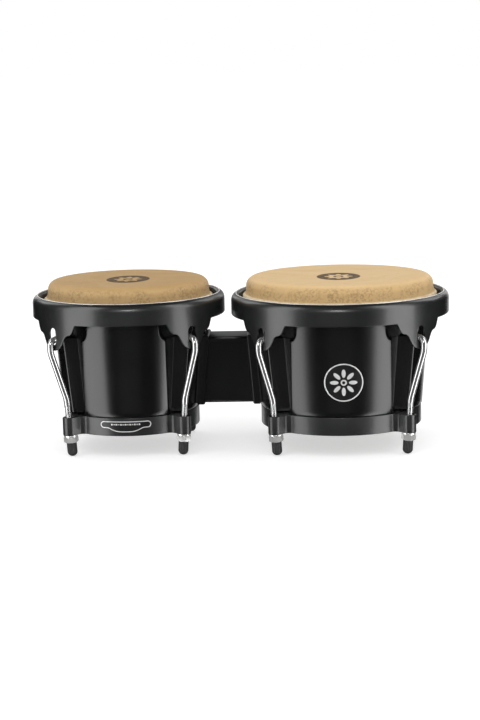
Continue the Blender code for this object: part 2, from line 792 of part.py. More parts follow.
def make_bolt_holes(drum, group):
    """Two holes along X through the shell, the gasket and the saddle."""
    work = bmesh.new()
    for z in BOLT_HEIGHTS:
        middle = Vector((drum.block_side * drum.shell_r(z), 0, z))
        bmesh.ops.create_cone(
            work,
            cap_ends=True,
            segments=SMALL_STEPS,
            radius1=BOLT_RADIUS + GAP,
            radius2=BOLT_RADIUS + GAP,
            depth=BOLT_HOLE_REACH,
            matrix=Matrix.Translation(middle) @ Matrix.Rotation(math.radians(90), 4, "Y"),
        )
    mesh = bpy.data.meshes.new("bolt_holes")
    work.to_mesh(mesh)
    work.free()
    return add_cutter(f"{drum.name}_bolt_holes", mesh, group)


def make_block_bolts(drum, group):
    """Flanged bolts from inside the shell, with their nuts inside the block."""
    head = [
        (0, BOLT_HEAD_HEIGHT),
        (BOLT_HEAD_RADIUS - BOLT_CHAMFER, BOLT_HEAD_HEIGHT),
        (BOLT_HEAD_RADIUS, BOLT_HEAD_HEIGHT - BOLT_CHAMFER),
        (BOLT_FLANGE_RADIUS, BOLT_FLANGE_HEIGHT),
        (BOLT_FLANGE_RADIUS, 0),
        (BOLT_RADIUS, 0),
        (BOLT_RADIUS, -BOLT_LENGTH),
        (0, -BOLT_LENGTH),
    ]
    bolt = profile("block_bolt", head, False)
    nut = plate(
        "block_nut",
        [hexagon(BOLT_NUT_FLATS), circle(BOLT_RADIUS + GAP)],
        BOLT_NUT_HEIGHT,
        Matrix.Translation((0, 0, -BOLT_NUT_HEIGHT / 2)),
    )
    side = drum.block_side
    turn = (0, math.radians(-90 * side), 0)
    for i, z in enumerate(BOLT_HEIGHTS, 1):
        under_head = drum.shell_r(z) - SHELL_WALL - BOLT_STANDOFF
        at = (side * under_head, 0, z)
        name = f"{drum.name}_block_bolt_{i}"
        turn_profile(add_part(name, bolt, ZINC, group, at, turn), SMALL_STEPS)
        on_saddle = drum.shell_r(z) + GASKET + SADDLE_THICKNESS + NUT_STANDOFF
        at = (side * on_saddle, 0, z)
        add_part(f"{drum.name}_block_nut_{i}", nut, ZINC, group, at, turn)


# Badge and label


def make_shell_badge(group):
    """A round plate, bent to the front of the hembra's shell."""
    low, high = BADGE_HEIGHT - BADGE_BLANK, BADGE_HEIGHT + BADGE_BLANK
    sheet = [
        (HEMBRA.shell_r(high) + GAP + BADGE_THICKNESS, high),
        (HEMBRA.shell_r(low) + GAP + BADGE_THICKNESS, low),
        (HEMBRA.shell_r(low) + GAP, low),
        (HEMBRA.shell_r(high) + GAP, high),
    ]
    badge = turn_profile(add_part("shell_badge", profile("badge", sheet), SILVER, group))
    outline = arc((0, BADGE_HEIGHT), BADGE_RADIUS, 0, 350, 35)
    turn = Matrix.Rotation(BADGE_TURN, 4, "Z")
    front = turn @ Matrix.Translation((0, -SHELL_RADIUS, 0)) @ FACING_FRONT
    disc = add_cutter("badge_outline", plate("disc", [outline], SHELL_RADIUS, front), group)
    boolean(badge, "INTERSECT", disc)


def make_ring_label(group):
    """A long plate with a rounded belly, bent to the front of the macho's ring."""
    outer = MACHO.r(RING_RADIUS) + GAP
    low, high = RING_BOTTOM + LABEL_MARGIN, RING_TOP - LABEL_MARGIN
    sheet = [
        (outer + LABEL_THICKNESS, high),
        (outer + LABEL_THICKNESS, low),
        (outer, low),
        (outer, high),
    ]
    label = turn_profile(add_part("ring_label", profile("label", sheet), SILVER, group))
    end = LABEL_HALF_WIDTH - LABEL_END
    middle = LABEL_HEIGHT + LABEL_END
    right = arc((end, middle), LABEL_END, 90, -90, 6)
    bulge = LABEL_BELLY_DROP / LABEL_BELLY
    belly = arc((0, middle - LABEL_END), LABEL_BELLY, 0, -180, 10, bulge)
    left = [(-x, z) for x, z in reversed(right)]
    front = Matrix.Translation((0, -outer, 0)) @ FACING_FRONT
    outline = add_cutter(
        "label_outline", plate("label", [right + belly + left], outer, front), group
    )
    boolean(label, "INTERSECT", outline)


# Assembly


def make_floor():
    """What the rubber tips' domes are worn flat against."""
    low = (-FLOOR_HALF, -FLOOR_HALF, -FLOOR_DEPTH)
    return add_cutter("floor", box_mesh("floor", low, (FLOOR_HALF, FLOOR_HALF, 0)))


def shade_round_pieces():
    """Every sub-part is round somewhere, so all are shaded smooth, with their corners sharp."""
    tree = smooth_by_angle()
    for part in PARTS.objects:
        if part.type != "EMPTY":
            shading = part.modifiers.new("shading", "NODES")
            shading.node_group = tree


def main():
    floor = make_floor()
    groups = []
    bolt_holes = []
    for drum in DRUMS:
        group = add_group(f"{drum.name}_drum", at=drum.origin)
        moving = add_group(f"{drum.name}_tuning", group)
        holes = make_bolt_holes(drum, group)
        make_shell(drum, group, holes)
        make_head(drum, group)
        make_flesh_hoop(drum, moving)
        make_rim(drum, moving)
        make_bottom_ring(drum, group)
        make_tuning_hardware(drum, group, moving, floor)
        make_gasket(drum, group, holes)
        make_block_bolts(drum, group)
        groups.append(group)
        bolt_holes.append(holes)
    make_center_block(groups, bolt_holes)
    make_ring_label(groups[0])
    make_shell_badge(groups[1])
    shade_round_pieces()


main()
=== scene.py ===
"""The looks of a pair of bongo drums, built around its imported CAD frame. Metres, +Z up."""

import math

import bmesh
import bpy
import numpy as np
from mathutils import Matrix, Vector


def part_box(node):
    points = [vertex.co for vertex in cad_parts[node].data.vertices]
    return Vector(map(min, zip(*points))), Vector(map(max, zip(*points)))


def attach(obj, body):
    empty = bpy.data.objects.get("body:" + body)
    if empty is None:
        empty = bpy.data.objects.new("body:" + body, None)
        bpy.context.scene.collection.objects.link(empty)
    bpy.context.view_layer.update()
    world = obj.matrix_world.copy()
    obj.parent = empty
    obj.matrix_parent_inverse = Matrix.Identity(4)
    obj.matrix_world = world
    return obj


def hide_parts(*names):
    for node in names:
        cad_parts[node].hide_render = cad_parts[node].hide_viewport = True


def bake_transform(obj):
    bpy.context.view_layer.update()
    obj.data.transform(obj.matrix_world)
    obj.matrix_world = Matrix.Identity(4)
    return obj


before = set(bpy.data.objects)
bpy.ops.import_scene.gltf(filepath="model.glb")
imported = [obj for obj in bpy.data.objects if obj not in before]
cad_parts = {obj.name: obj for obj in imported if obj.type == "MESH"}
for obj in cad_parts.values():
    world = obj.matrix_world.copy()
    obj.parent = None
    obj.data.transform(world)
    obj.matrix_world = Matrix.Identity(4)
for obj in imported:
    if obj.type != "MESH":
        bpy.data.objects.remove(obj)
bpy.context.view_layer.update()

TAU = math.tau
LUG_ANGLES = [math.radians(a) for a in (225, 315, 45, 135)]

# Rim
HEMBRA_RIM_RADIUS = 0.1109
RIM_SHEET = 0.0016
RIM_SHOULDER = 0.0058
RIM_LIP = 0.0026
RIM_HEIGHT = 0.0212
LIP_BOTTOM = 0.0125
SHOULDER_SQUASH = 1.25  # the shoulder is taller than it is wide
RIM_BEAD = 0.0006  # radius of the bead along the crown, coloured pale silver as a painted highlight
EAR_SIDE = (
    (0.04, 0), (0.03, 0), (0.0285, 0.003), (0.0262, 0.0078), (0.0235, 0.0102),
    (0.0195, 0.011), (0.0168, 0.013), (0.0146, 0.0168), (0.0124, 0.0208),
)  # as ear_depths gives them, from an ear's side inwards
EAR_REACH = 0.034
EAR_DROP = 0.027
EAR_NOSE = 0.0166
EAR_HOLE = (0.0094, 0.016, 0.0054)  # drops of the two ends' centres, and their radius

# Shell
SHELL_RADIUS = 0.083
SHELL_TAPER = 0.08
SHELL_SHOULDER = 0.164
SHELL_WALL = 0.005
SHELL_EDGES = (0.0024, 0.0004)  # radii of a panel's edge and of a channel's corner
CORNER = 0.0006
SHELL_FOOT = 0.041
COLLAR_RADIUS = 0.08
COLLAR_BOTTOM = 0.0242
CHANNEL_FLOOR = 0.0716
CHANNEL_LEAN = 0.05
PANEL_HALF = 0.05
POCKET_FLOOR = 0.0708
POCKET_STEP = 0.0055
POCKET_DROP = 0.019
POCKET_ROUND = 0.01
POCKET_FLARE = 0.0032  # height and width of the wedge at a pocket's top
CHANNEL_TOP = 0.148
NECK = 0.153  # the shell is round above this
EDGE_WIDTH = 0.0072
EDGE_HEIGHT = 0.0067

# Skin and hoop
HEAD_TOP = 0.1728
SKIN = 0.0018
SKIN_COLLAR = 0.0986
SKIN_FLARE_END = 0.1545
SKIN_FLARE = ((0.095, 0.162), (0.0952, 0.16), (0.0956, 0.1582), (0.0963, 0.1567), (0.0974, 0.1555))
PLEAT = 0.0001
UNEVEN = 0.00016
HOOP_WIDTH = 0.0052
HOOP_HEIGHT = 0.006
GAP = 0.0003

# Ring and hardware
RING_RADIUS = 0.08215
RING_SHEET = 0.0018
RING_BOTTOM = 0.0221
RING_TOP = 0.0404
RING_LIP = 0.0075
LUG_RADIUS = 0.0948
LUG_NOSE = 0.0066
LUG_FILLET = 0.006
LUG_BORE = 0.0041
ROD_RADIUS = 0.0032
ROD_SIDES = 18
ROD_SLOPE = 0.085
ROD_FOOT_RADIUS = 0.0917
ROD_END = 0.0045
HOOK_OUT = 0.0037
HOOK_TIP = 0.0115  # how far the tip reaches in
HOOK_DROPS = (0.0147, 0.0177, 0.0285, 0.0785)  # of the tip and the bends, below the rim's band
HOOK_BENDS = (0.006, 0.02, 0.03)
THREAD_TOP = 0.054
THREAD_PITCH = 0.00127
THREAD_DEPTH = 0.00042
NUT_BOTTOM = 0.0146
NUT_HEIGHT = 0.006
NUT_FLATS = 0.013
BORE = 0.0036
WASHER_RADIUS = 0.0072
WASHER_HEIGHT = 0.0014
LUG_SEAT = 0.0226
FOOT_RADIUS = 0.0051
FOOT_COLLAR = 0.0016
FLUTES = 12
FLUTE_DEPTH = 0.085  # as a share of the radius

# Block
BLOCK_BOTTOM = 0.0456
BLOCK_TOP = 0.1136
BLOCK_HALF_DEPTH = 0.0205
BLOCK_WALL = 0.004
SADDLE_LAP = 0.0018
SADDLE_THICKNESS = 0.0042
SADDLE_DEPTH = 0.016  # reaches into the shell, which is then cut out
BLOCK_RIB = 0.004
PANEL_HEAD = 0.0052
PANEL_FOOT = 0.0016
PANEL_SUNK = 0.0006
GASKET = 0.002
BOLT_HEIGHTS = (0.064, 0.095)

# The hides: their light, middle and ochre tans, and the print on each
PRINT_RADIUS = 0.022
PRINT_SQUASH = 0.76  # the print is longer from front to back
PRINT_HEART = 0.0028
PETAL_START = 0.0052
PETAL_REACH = 0.0118
PETAL_WAVE = 0.0026
SMALL_TANS = ((0.495, 0.318, 0.132), (0.44, 0.276, 0.111), (0.5, 0.33, 0.148))
LARGE_TANS = ((0.715, 0.505, 0.258), (0.655, 0.448, 0.221), (0.58, 0.388, 0.176))
INK = (0.066, 0.038, 0.013)
# the hem's pale cream: partly the hide's own paler edge, partly a painted highlight where the flare faces up
HEM_TAN_AND_HIGHLIGHT = (0.78, 0.64, 0.42)

# Studio
FLOOR_REACH = 30
LIGHTS_AIM = Vector((0, 0, 0.09))
CAMERA_LENS = 90.31
CAMERA_PLACE = (0.08268, -1.8306, 0.4008)
CAMERA_TURN = (-2.637, -9.75, -1.323)  # yaw, pitch and roll in degrees

# Badge and label
BADGE_RADIUS = 0.0192
BADGE_HEIGHT = 0.0766
BADGE_TURN = math.radians(1.3)
LABEL_HALF = 0.0257
LABEL_END = 0.0034
LABEL_MIDDLE = 0.0339
PIP_SPACING = 0.0023
LABEL_BELLY = (
    (0.0186, 0), (0.0168, 0.0004), (0.0148, 0.0014), (0.0124, 0.0025),
    (0.0098, 0.0034), (0.007, 0.0039), (0.0035, 0.0041), (0, 0.0041),
)


class Drum:
    """One drum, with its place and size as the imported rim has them."""

    def __init__(self, name, side):
        low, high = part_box(f"{name}_rim")
        self.name = name
        self.side = side
        self.x = (low.x + high.x) / 2
        self.rim_radius = (high.x - low.x) / 2
        self.crown = high.z
        self.band_bottom = high.z - RIM_HEIGHT
        self.shrink = HEMBRA_RIM_RADIUS - self.rim_radius
        self.panel_half = self.scaled(PANEL_HALF)
        self.moving = f"{name}_tuning"

    def r(self, radius):
        return radius - self.shrink

    def scaled(self, length):
        """A length that shrinks in proportion with the shell."""
        return length * self.r(SHELL_RADIUS) / SHELL_RADIUS

    def shell_r(self, z):
        return self.r(SHELL_RADIUS + SHELL_TAPER * (z - RING_TOP))


MACHO = Drum("macho", 1)
HEMBRA = Drum("hembra", -1)
DRUMS = (MACHO, HEMBRA)
FIXED = "drums"


# ---- materials


class Nodes:
    """A material's node tree, with short calls that make and link its nodes."""

    def __init__(self, name, **constants):
        self.material = bpy.data.materials.new(name)
        self.material.use_nodes = True
        self.tree = self.material.node_tree
        self.shader = self.fill(self.tree.nodes["Principled BSDF"], constants)
        self.place = self.node("TexCoord").outputs["Object"]

    def link(self, value, socket):
        if hasattr(value, "is_output"):
            self.tree.links.new(value, socket)
        else:
            socket.default_value = value

    def fill(self, node, named):
        for name, value in named.items():
            self.link(value, node.inputs[name.replace("_", " ")])
        return node

    def node(self, kind, *inputs, **named):
        """A new node, with inputs in order and others by name."""
        node = self.tree.nodes.new("ShaderNode" + kind)
        for value, socket in zip(inputs, node.inputs):
            self.link(value, socket)
        return self.fill(node, named)

    def made(self, colour, roughness, normal=None):
        """The finished material, with what drives its colour, roughness and normal."""
        self.fill(self.shader, {"Base_Color": colour, "Roughness": roughness})
        if normal is not None:
            self.fill(self.shader, {"Normal": normal})
        return self.material

    def math(self, operation, a, b=0.0, clamp=False):
        node = self.node("Math", a, b)
        node.operation = operation
        node.use_clamp = clamp
        return node.outputs[0]

    def times(self, first, *others):
        for other in others:
            first = self.math("MULTIPLY", first, other)
        return first

    def minus(self, a, b):
        return self.math("SUBTRACT", a, b)

    def stretched(self, scale):
        return self.node("Mapping", self.place, Scale=scale).outputs[0]

    def noise(self, scale, detail=3.0, rough=0.55, at=None, distort=0.0):
        named = {"Scale": scale, "Detail": detail, "Roughness": rough, "Distortion": distort}
        return self.node("TexNoise", at or self.place, **named).outputs["Fac"]

    def cells(self, scale):
        return self.node("TexVoronoi", self.place, Scale=scale).outputs["Distance"]

    def spread(self, value, low, high, to_low=0.0, to_high=1.0):
        """to_low where the value is low, and smoothly to_high where it is high."""
        node = self.node("MapRange", value, low, high, to_low, to_high)
        node.interpolation_type = "SMOOTHSTEP"
        return node.outputs[0]

    def mix(self, share, a, b):
        node = self.node("Mix", share)
        node.data_type = "RGBA"
        colours = [socket for socket in node.inputs if socket.type == "RGBA"]
        for value, socket in zip((a, b), colours):
            self.link((*value, 1) if isinstance(value, tuple) else value, socket)
        return next(socket for socket in node.outputs if socket.type == "RGBA")

    def bump(self, height, distance, strength=1.0, under=None):
        node = self.node("Bump", Height=height, Distance=distance, Strength=strength)
        if under is not None:
            self.link(under, node.inputs["Normal"])
        return node.outputs[0]


def tint(colour, share, added=0.0):
    return tuple(share * c + added for c in colour)


def edge_wear(n, amount):
    """1 along convex edges, in patches."""
    edges = n.spread(n.node("NewGeometry").outputs["Pointiness"], 0.52, 0.6)
    return n.times(edges, n.spread(n.noise(90, 4), 0.42, 0.66), amount)


def abs_plastic(name, colour, rough, grain, grain_depth):
    """Moulded black ABS: a fine grain, soft smears in the gloss, and edges rubbed a little paler."""
    n = Nodes(name, Specular_IOR_Level=0.5)
    cloud = n.mix(n.spread(n.noise(14, 4), 0.35, 0.7), colour, tint(colour, 1.5))
    worn = n.mix(edge_wear(n, 0.5), cloud, tint(colour, 2.6, 0.006))
    smears = n.noise(9, 5, 0.6, n.stretched((1, 1, 0.35)))
    fine = n.bump(n.noise(grain, 2, 0.5), grain_depth, 0.5)
    waves = n.bump(n.noise(28, 2), 0.00005, 0.35, fine)
    return n.made(worn, n.spread(smears, 0.3, 0.75, rough - 0.025, rough + 0.035), waves)


def powder_coat(name, colour, rough):
    """Satin black powder coat on steel: an orange-peel surface with speckle, under a thin gloss."""
    n = Nodes(name, Specular_IOR_Level=0.45, Coat_Weight=0.28, Coat_Roughness=0.17)
    speckle = n.mix(n.spread(n.noise(2200, 2), 0.35, 0.7), tint(colour, 0.8), tint(colour, 1.25))
    worn = n.mix(edge_wear(n, 0.6), speckle, tint(colour, 2.2, 0.01))
    peel = n.bump(n.noise(900, 2), 0.00006, 0.35)
    uneven = n.spread(n.noise(24, 4), 0.3, 0.7, rough - 0.04, rough + 0.04)
    return n.made(worn, uneven, n.bump(n.cells(1700), 0.00004, 0.25, peel))


def plated(name, colour, rough, scratch_scale, metallic=1.0):
    """Plated metal with hairline scratches and a faintly uneven shine."""
    n = Nodes(name, Metallic=metallic)
    haze = n.mix(n.spread(n.noise(55, 4), 0.4, 0.75), colour, tint(colour, 0.86))
    lines = n.noise(scratch_scale, 3, 0.6, n.stretched((1, 1, 0.06)))
    return n.made(haze, n.spread(lines, 0.3, 0.75, rough, rough + 0.12), n.bump(lines, 0.00002, 0.25))


def silvered(name, colour, rough, metallic):
    """Bright silver paint or zinc: partly metal, with a fine brushed tone."""
    n = Nodes(name, Metallic=metallic, Specular_IOR_Level=0.6)
    tone = n.mix(n.spread(n.noise(240, 3), 0.3, 0.7), colour, tint(colour, 0.88))
    uneven = n.spread(n.noise(90, 4), 0.3, 0.75, rough - 0.05, rough + 0.08)
    return n.made(tone, uneven, n.bump(n.noise(1300, 2), 0.00003, 0.3))


def rubber(name, colour):
    """Matt moulded rubber with dust in its pores."""
    n = Nodes(name, Specular_IOR_Level=0.4)
    dust = n.mix(n.spread(n.noise(420, 4), 0.5, 0.75), colour, tint(colour, 1.8, 0.004))
    uneven = n.spread(n.noise(160, 3), 0.3, 0.7, 0.58, 0.78)
    return n.made(dust, uneven, n.bump(n.noise(2600, 2), 0.00008, 0.5))


def hide(name, drum, mark, light, mid, ochre):
    """Natural hide: cloudy tan with fibres, a mottled collar with a pale hem (partly the hide's own
    paler edge and partly a painted highlight where the flare faces up), and an oval printed
    rosette whose middle is at mark, from the drum's axis."""
    n = Nodes(name, Specular_IOR_Level=0.14, Subsurface_Weight=0.06, Sheen_Weight=0.03)
    n.fill(n.shader, {"Subsurface_Radius": (0.004, 0.0022, 0.0012), "Subsurface_Scale": 0.5})
    dark = tint(ochre, 0.42)
    x, y, z = n.node("SeparateXYZ", n.place).outputs
    clouds = n.spread(n.noise(11, 6, 0.6, distort=0.6), 0.32, 0.68)
    flecks = n.spread(n.noise(170, 5, 0.7), 0.48, 0.74)
    fibres = n.spread(n.noise(75, 5, 0.65, n.stretched((1, 5, 1)), 1.2), 0.42, 0.7)
    top = n.mix(clouds, light, mid)
    top = n.mix(n.times(fibres, 0.22), top, mid)
    top = n.mix(n.times(flecks, 0.1), top, dark)

    flare = n.spread(z, 0.1548, 0.158)
    side = n.spread(z, 0.168, 0.1718, 1.0, 0.0)
    stain = n.spread(n.noise(400, 5, 0.66), 0.4, 0.64)
    blotch = n.spread(n.noise(60, 5, 0.65), 0.34, 0.64)
    mottle = n.times(n.times(flare, side), n.times(stain, blotch))
    collar = n.mix(n.spread(z, 0.168, 0.172, 1.0, 0.0), top, ochre)
    collar = n.mix(n.times(mottle, 0.62), collar, dark)
    frayed = n.spread(n.noise(130, 4), 0.3, 0.6, 0.35, 0.9)
    # The pale hem is partly the hide's own colour and partly a painted highlight where the flare faces up.
    collar = n.mix(n.times(n.spread(z, 0.156, 0.1568, 1.0, 0.0), frayed), collar, HEM_TAN_AND_HIGHLIGHT)

    east = n.minus(x, drum.x + mark[0])
    north = n.times(n.minus(y, mark[1]), PRINT_SQUASH)
    radius = n.math("SQRT", n.math("ADD", n.times(east, east), n.times(north, north)))
    wave = n.times(n.math("COSINE", n.times(n.math("ARCTAN2", north, east), 8.0)), PETAL_WAVE)

    def within(limit):
        return n.spread(n.minus(limit, radius), -0.00025, 0.00025)

    petals = n.minus(within(n.math("ADD", wave, PETAL_REACH)), within(PETAL_START))
    bare = n.math("ADD", petals, within(PRINT_HEART), clamp=True)
    printed = n.times(within(PRINT_RADIUS), n.minus(1.0, bare))
    worn = n.spread(n.noise(420, 4), 0.25, 0.75, 0.97, 0.8)
    ink = n.times(printed, n.spread(z, 0.17, 0.172), worn)
    pores = n.bump(n.noise(900, 4, 0.7), 0.00012, 0.45)
    folds = n.bump(n.noise(120, 5, 0.6), 0.0003, 0.3, pores)
    return n.made(n.mix(ink, collar, INK), n.spread(clouds, 0.0, 1.0, 0.52, 0.68), folds)


def enamel(name, colour):
    """The badge's and the label's sunk field: smooth lacquer with a faint stipple."""
    n = Nodes(name, Specular_IOR_Level=0.5)
    tone = n.mix(n.noise(300, 3), colour, tint(colour, 1.6))
    uneven = n.spread(n.noise(80, 3), 0.3, 0.7, 0.3, 0.42)
    return n.made(tone, uneven, n.bump(n.cells(2400), 0.00005, 0.3))


SHELL_ABS = abs_plastic("shell_abs_black", (0.004, 0.0041, 0.0044), 0.24, 1500, 0.00003)
BLOCK_ABS = abs_plastic("block_abs_black", (0.0042, 0.0043, 0.0047), 0.33, 1100, 0.00005)
COAT = powder_coat("powder_coat_black", (0.0096, 0.0102, 0.0104), 0.36)
RING_COAT = powder_coat("ring_coat_black", (0.0145, 0.015, 0.015), 0.4)
# The crown's bead is coloured pale silver: a painted highlight for the light caught along the crest.
CROWN_PAINTED_HIGHLIGHT = silvered("rim_bead_bright", (0.86, 0.85, 0.82), 0.26, 0.35)
CHROME = plated("chrome_plate", (0.48, 0.48, 0.48), 0.05, 700, 0.78)
ZINC = plated("zinc_plate", (0.56, 0.56, 0.55), 0.3, 400)
TIP_RUBBER = rubber("tip_rubber", (0.02, 0.02, 0.021))
GASKET_RUBBER = rubber("gasket_rubber", (0.01, 0.01, 0.01))
SILVER = silvered("badge_silver", (0.72, 0.72, 0.71), 0.36, 0.25)
BRIGHT_ZINC = silvered("bright_zinc", (0.9, 0.9, 0.89), 0.18, 0.62)
FIELD = enamel("badge_field", (0.006, 0.006, 0.007))


# ---- mesh helpers


def linked(name, data):
    obj = bpy.data.objects.new(name, data)
    bpy.context.scene.collection.objects.link(obj)
    return obj


def baked(obj, *helpers):
    """The object's mesh after its modifiers. The object and its helpers are removed."""
    bpy.context.view_layer.update()
    made = bpy.data.meshes.new_from_object(obj.evaluated_get(bpy.context.evaluated_depsgraph_get()))
    for used in (obj, *helpers):
        bpy.data.objects.remove(used, do_unlink=True)
    return made


def new_object(name, mesh, surface, sharp):
    """An object with its faces shaded smooth and its corners sharp."""
    mesh.name = name
    mesh.shade_smooth()
    mesh.set_sharp_from_angle(angle=math.radians(sharp))
    mesh.materials.append(surface)
    return linked(name, mesh)


def piece(name, mesh, surface, body, node, sharp=35):
    """A piece that rides on the body, takes that surface, and hides that CAD node."""
    obj = new_object(name, mesh, surface, sharp)
    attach(obj, body)
    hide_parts(node)
    return obj


def shift(x, y, z):
    return Matrix.Translation((x, y, z))


def spin(angle, axis="Z"):
    return Matrix.Rotation(angle, 4, axis)


def edited(mesh, change):
    """The mesh after change(its bmesh)."""
    work = bmesh.new()
    work.from_mesh(mesh)
    change(work)
    work.to_mesh(mesh)
    work.free()
    return mesh


def facing_out(mesh):
    def change(work):
        bmesh.ops.recalc_face_normals(work, faces=work.faces)
        if work.calc_volume(signed=True) < 0:
            bmesh.ops.reverse_faces(work, faces=work.faces)

    return edited(mesh, change)


def mesh_from(points, faces):
    mesh = bpy.data.meshes.new("shape")
    mesh.from_pydata([tuple(p) for p in points], [], faces)
    return facing_out(mesh)


def loft(rows, closed=False):
    """A mesh through closed rows of points. It closes on itself, or has a flat face at each end."""
    sides = len(rows[0])
    points = [p for row in rows for p in row]
    count = len(points)
    faces = [] if closed else [tuple(range(sides)), tuple(range(count - sides, count))]
    for i in range(0, count if closed else count - sides, sides):
        for k in range(sides):
            a, b = i + k, i + (k + 1) % sides
            faces.append((a, b, (b + sides) % count, (a + sides) % count))
    return mesh_from(points, faces)


def lathe(profile, steps, x=0.0, shape=None):
    """Turns (radius, z) points about the upright axis at x. A point at radius 0 is a pole, and
    otherwise the profile is a loop. shape(angle, radius, z) may change each radius."""
    points, rings = [], []
    for radius, z in profile:
        if radius == 0:
            rings.append([len(points)] * steps)
            points.append((x, 0, z))
            continue
        rings.append(list(range(len(points), len(points) + steps)))
        for angle in np.arange(steps) * TAU / steps:
            r = shape(angle, radius, z) if shape else radius
            points.append((x + r * math.cos(angle), r * math.sin(angle), z))
    faces = []
    pairs = list(zip(rings, rings[1:]))
    if profile[0][0] and profile[-1][0]:
        pairs.append((rings[-1], rings[0]))
    for upper, lower in pairs:
        for i in range(steps):
            j = (i + 1) % steps
            faces.append(tuple(dict.fromkeys((upper[i], upper[j], lower[j], lower[i]))))
    return mesh_from(points, faces)


def arc(centre, radius, start, end, steps, squash=1.0):
    """Points on an arc, in degrees."""
    angles = np.radians(np.linspace(start, end, steps + 1))
    return [(centre[0] + radius * math.cos(a), centre[1] + radius * squash * math.sin(a)) for a in angles]


def circle(x, y, radius, count, squash=1.0):
    return arc((x, y), radius, 0, 360 - 360 / count, count - 1, squash)


def rotated(points, angle):
    c, s = math.cos(angle), math.sin(angle)
    return [(x * c - y * s, x * s + y * c) for x, y in points]


def quartered(points, start=0.0):
    """The points at four quarter turns."""
    return [point for i in range(4) for point in rotated(points, start + i * TAU / 4)]


def line(a, b, steps):
    """Points from a to b, both left out."""
    return [tuple(np.array(a) + (np.array(b) - np.array(a)) * i / steps) for i in range(1, steps)]


def plate(outlines, thickness, rounding=0.0, segments=3):
    """A flat plate centred on Z = 0 with rounded edges, from an outline and any outlines of holes."""
    curve = bpy.data.curves.new("plate", "CURVE")
    curve.dimensions = "2D"
    curve.fill_mode = "BOTH"
    curve.extrude = thickness / 2 - rounding
    curve.bevel_depth = rounding
    curve.bevel_resolution = segments
    curve.offset = -rounding
    for outline in outlines:
        spline = curve.splines.new("POLY")
        spline.points.add(len(outline) - 1)
        for point, (x, y) in zip(spline.points, outline):
            point.co = (x, y, 0, 1)
        spline.use_cyclic_u = True
    mesh = baked(linked("plate", curve))
    edited(mesh, lambda work: bmesh.ops.remove_doubles(work, verts=work.verts, dist=0.000005))
    return facing_out(mesh)


def joined(*meshes):
    def change(work):
        for mesh in meshes:
            work.from_mesh(mesh)

    return edited(bpy.data.meshes.new("shape"), change)


def moved(mesh, matrix):
    copy = mesh.copy()
    copy.transform(matrix)
    return copy


def sliced(mesh, step):
    """Cuts the mesh across X at every step, so that it can be bent."""
    xs = [v.co.x for v in mesh.vertices]

    def change(work):
        for x in np.arange(min(xs) + step, max(xs), step):
            geom = [*work.verts, *work.edges, *work.faces]
            bmesh.ops.bisect_plane(work, geom=geom, plane_co=(x, 0, 0), plane_no=(1, 0, 0), dist=0.000001)

    return edited(mesh, change)


def bent(mesh, place_of):
    """Moves each vertex (x, y, z) to place_of(x, y, z)."""
    for vertex in mesh.vertices:
        vertex.co = place_of(*vertex.co)
    return facing_out(mesh)


def cut(mesh, *others, operation="DIFFERENCE"):
    """The mesh after exact Booleans with the others."""
    obj = linked("cut", mesh)
    helpers = [linked("cutter", other) for other in others]
    for helper in helpers:
        modifier = obj.modifiers.new("cut", "BOOLEAN")
        modifier.operation = operation
        modifier.object = helper
    return baked(obj, *helpers)


# ---- rims


def ear_depths():
    """(distances from an ear's middle, how far the rim reaches below its band there)."""
    nose = arc((0, -(EAR_DROP - EAR_NOSE)), EAR_NOSE, -54, -90, 12)
    known = [*EAR_SIDE, *((x, -y) for x, y in nose)]
    fine = np.arange(-0.045, 0.045, 0.0001)
    depth = np.interp(np.abs(fine), *zip(*reversed(known)))
    window = np.hanning(19)  # rounds the corners
    return fine, np.convolve(depth, window / window.sum(), "same")


EAR_X, EAR_Y = ear_depths()


def rim_columns(drum):
    """(angle, height of the band's lower edge) round the rim, close together at the ears."""
    ear = EAR_REACH / drum.rim_radius
    between = np.linspace(ear, TAU / 4 - ear, 32)[1:-1]
    columns = []
    for middle in (45, 135, 225, 315):
        for off in [*np.linspace(-ear, ear, 86), *between]:
            distance = min(abs(off), TAU / 4 - off) * drum.rim_radius
            columns.append((math.radians(middle) + off, drum.band_bottom - np.interp(distance, EAR_X, EAR_Y)))
    return columns


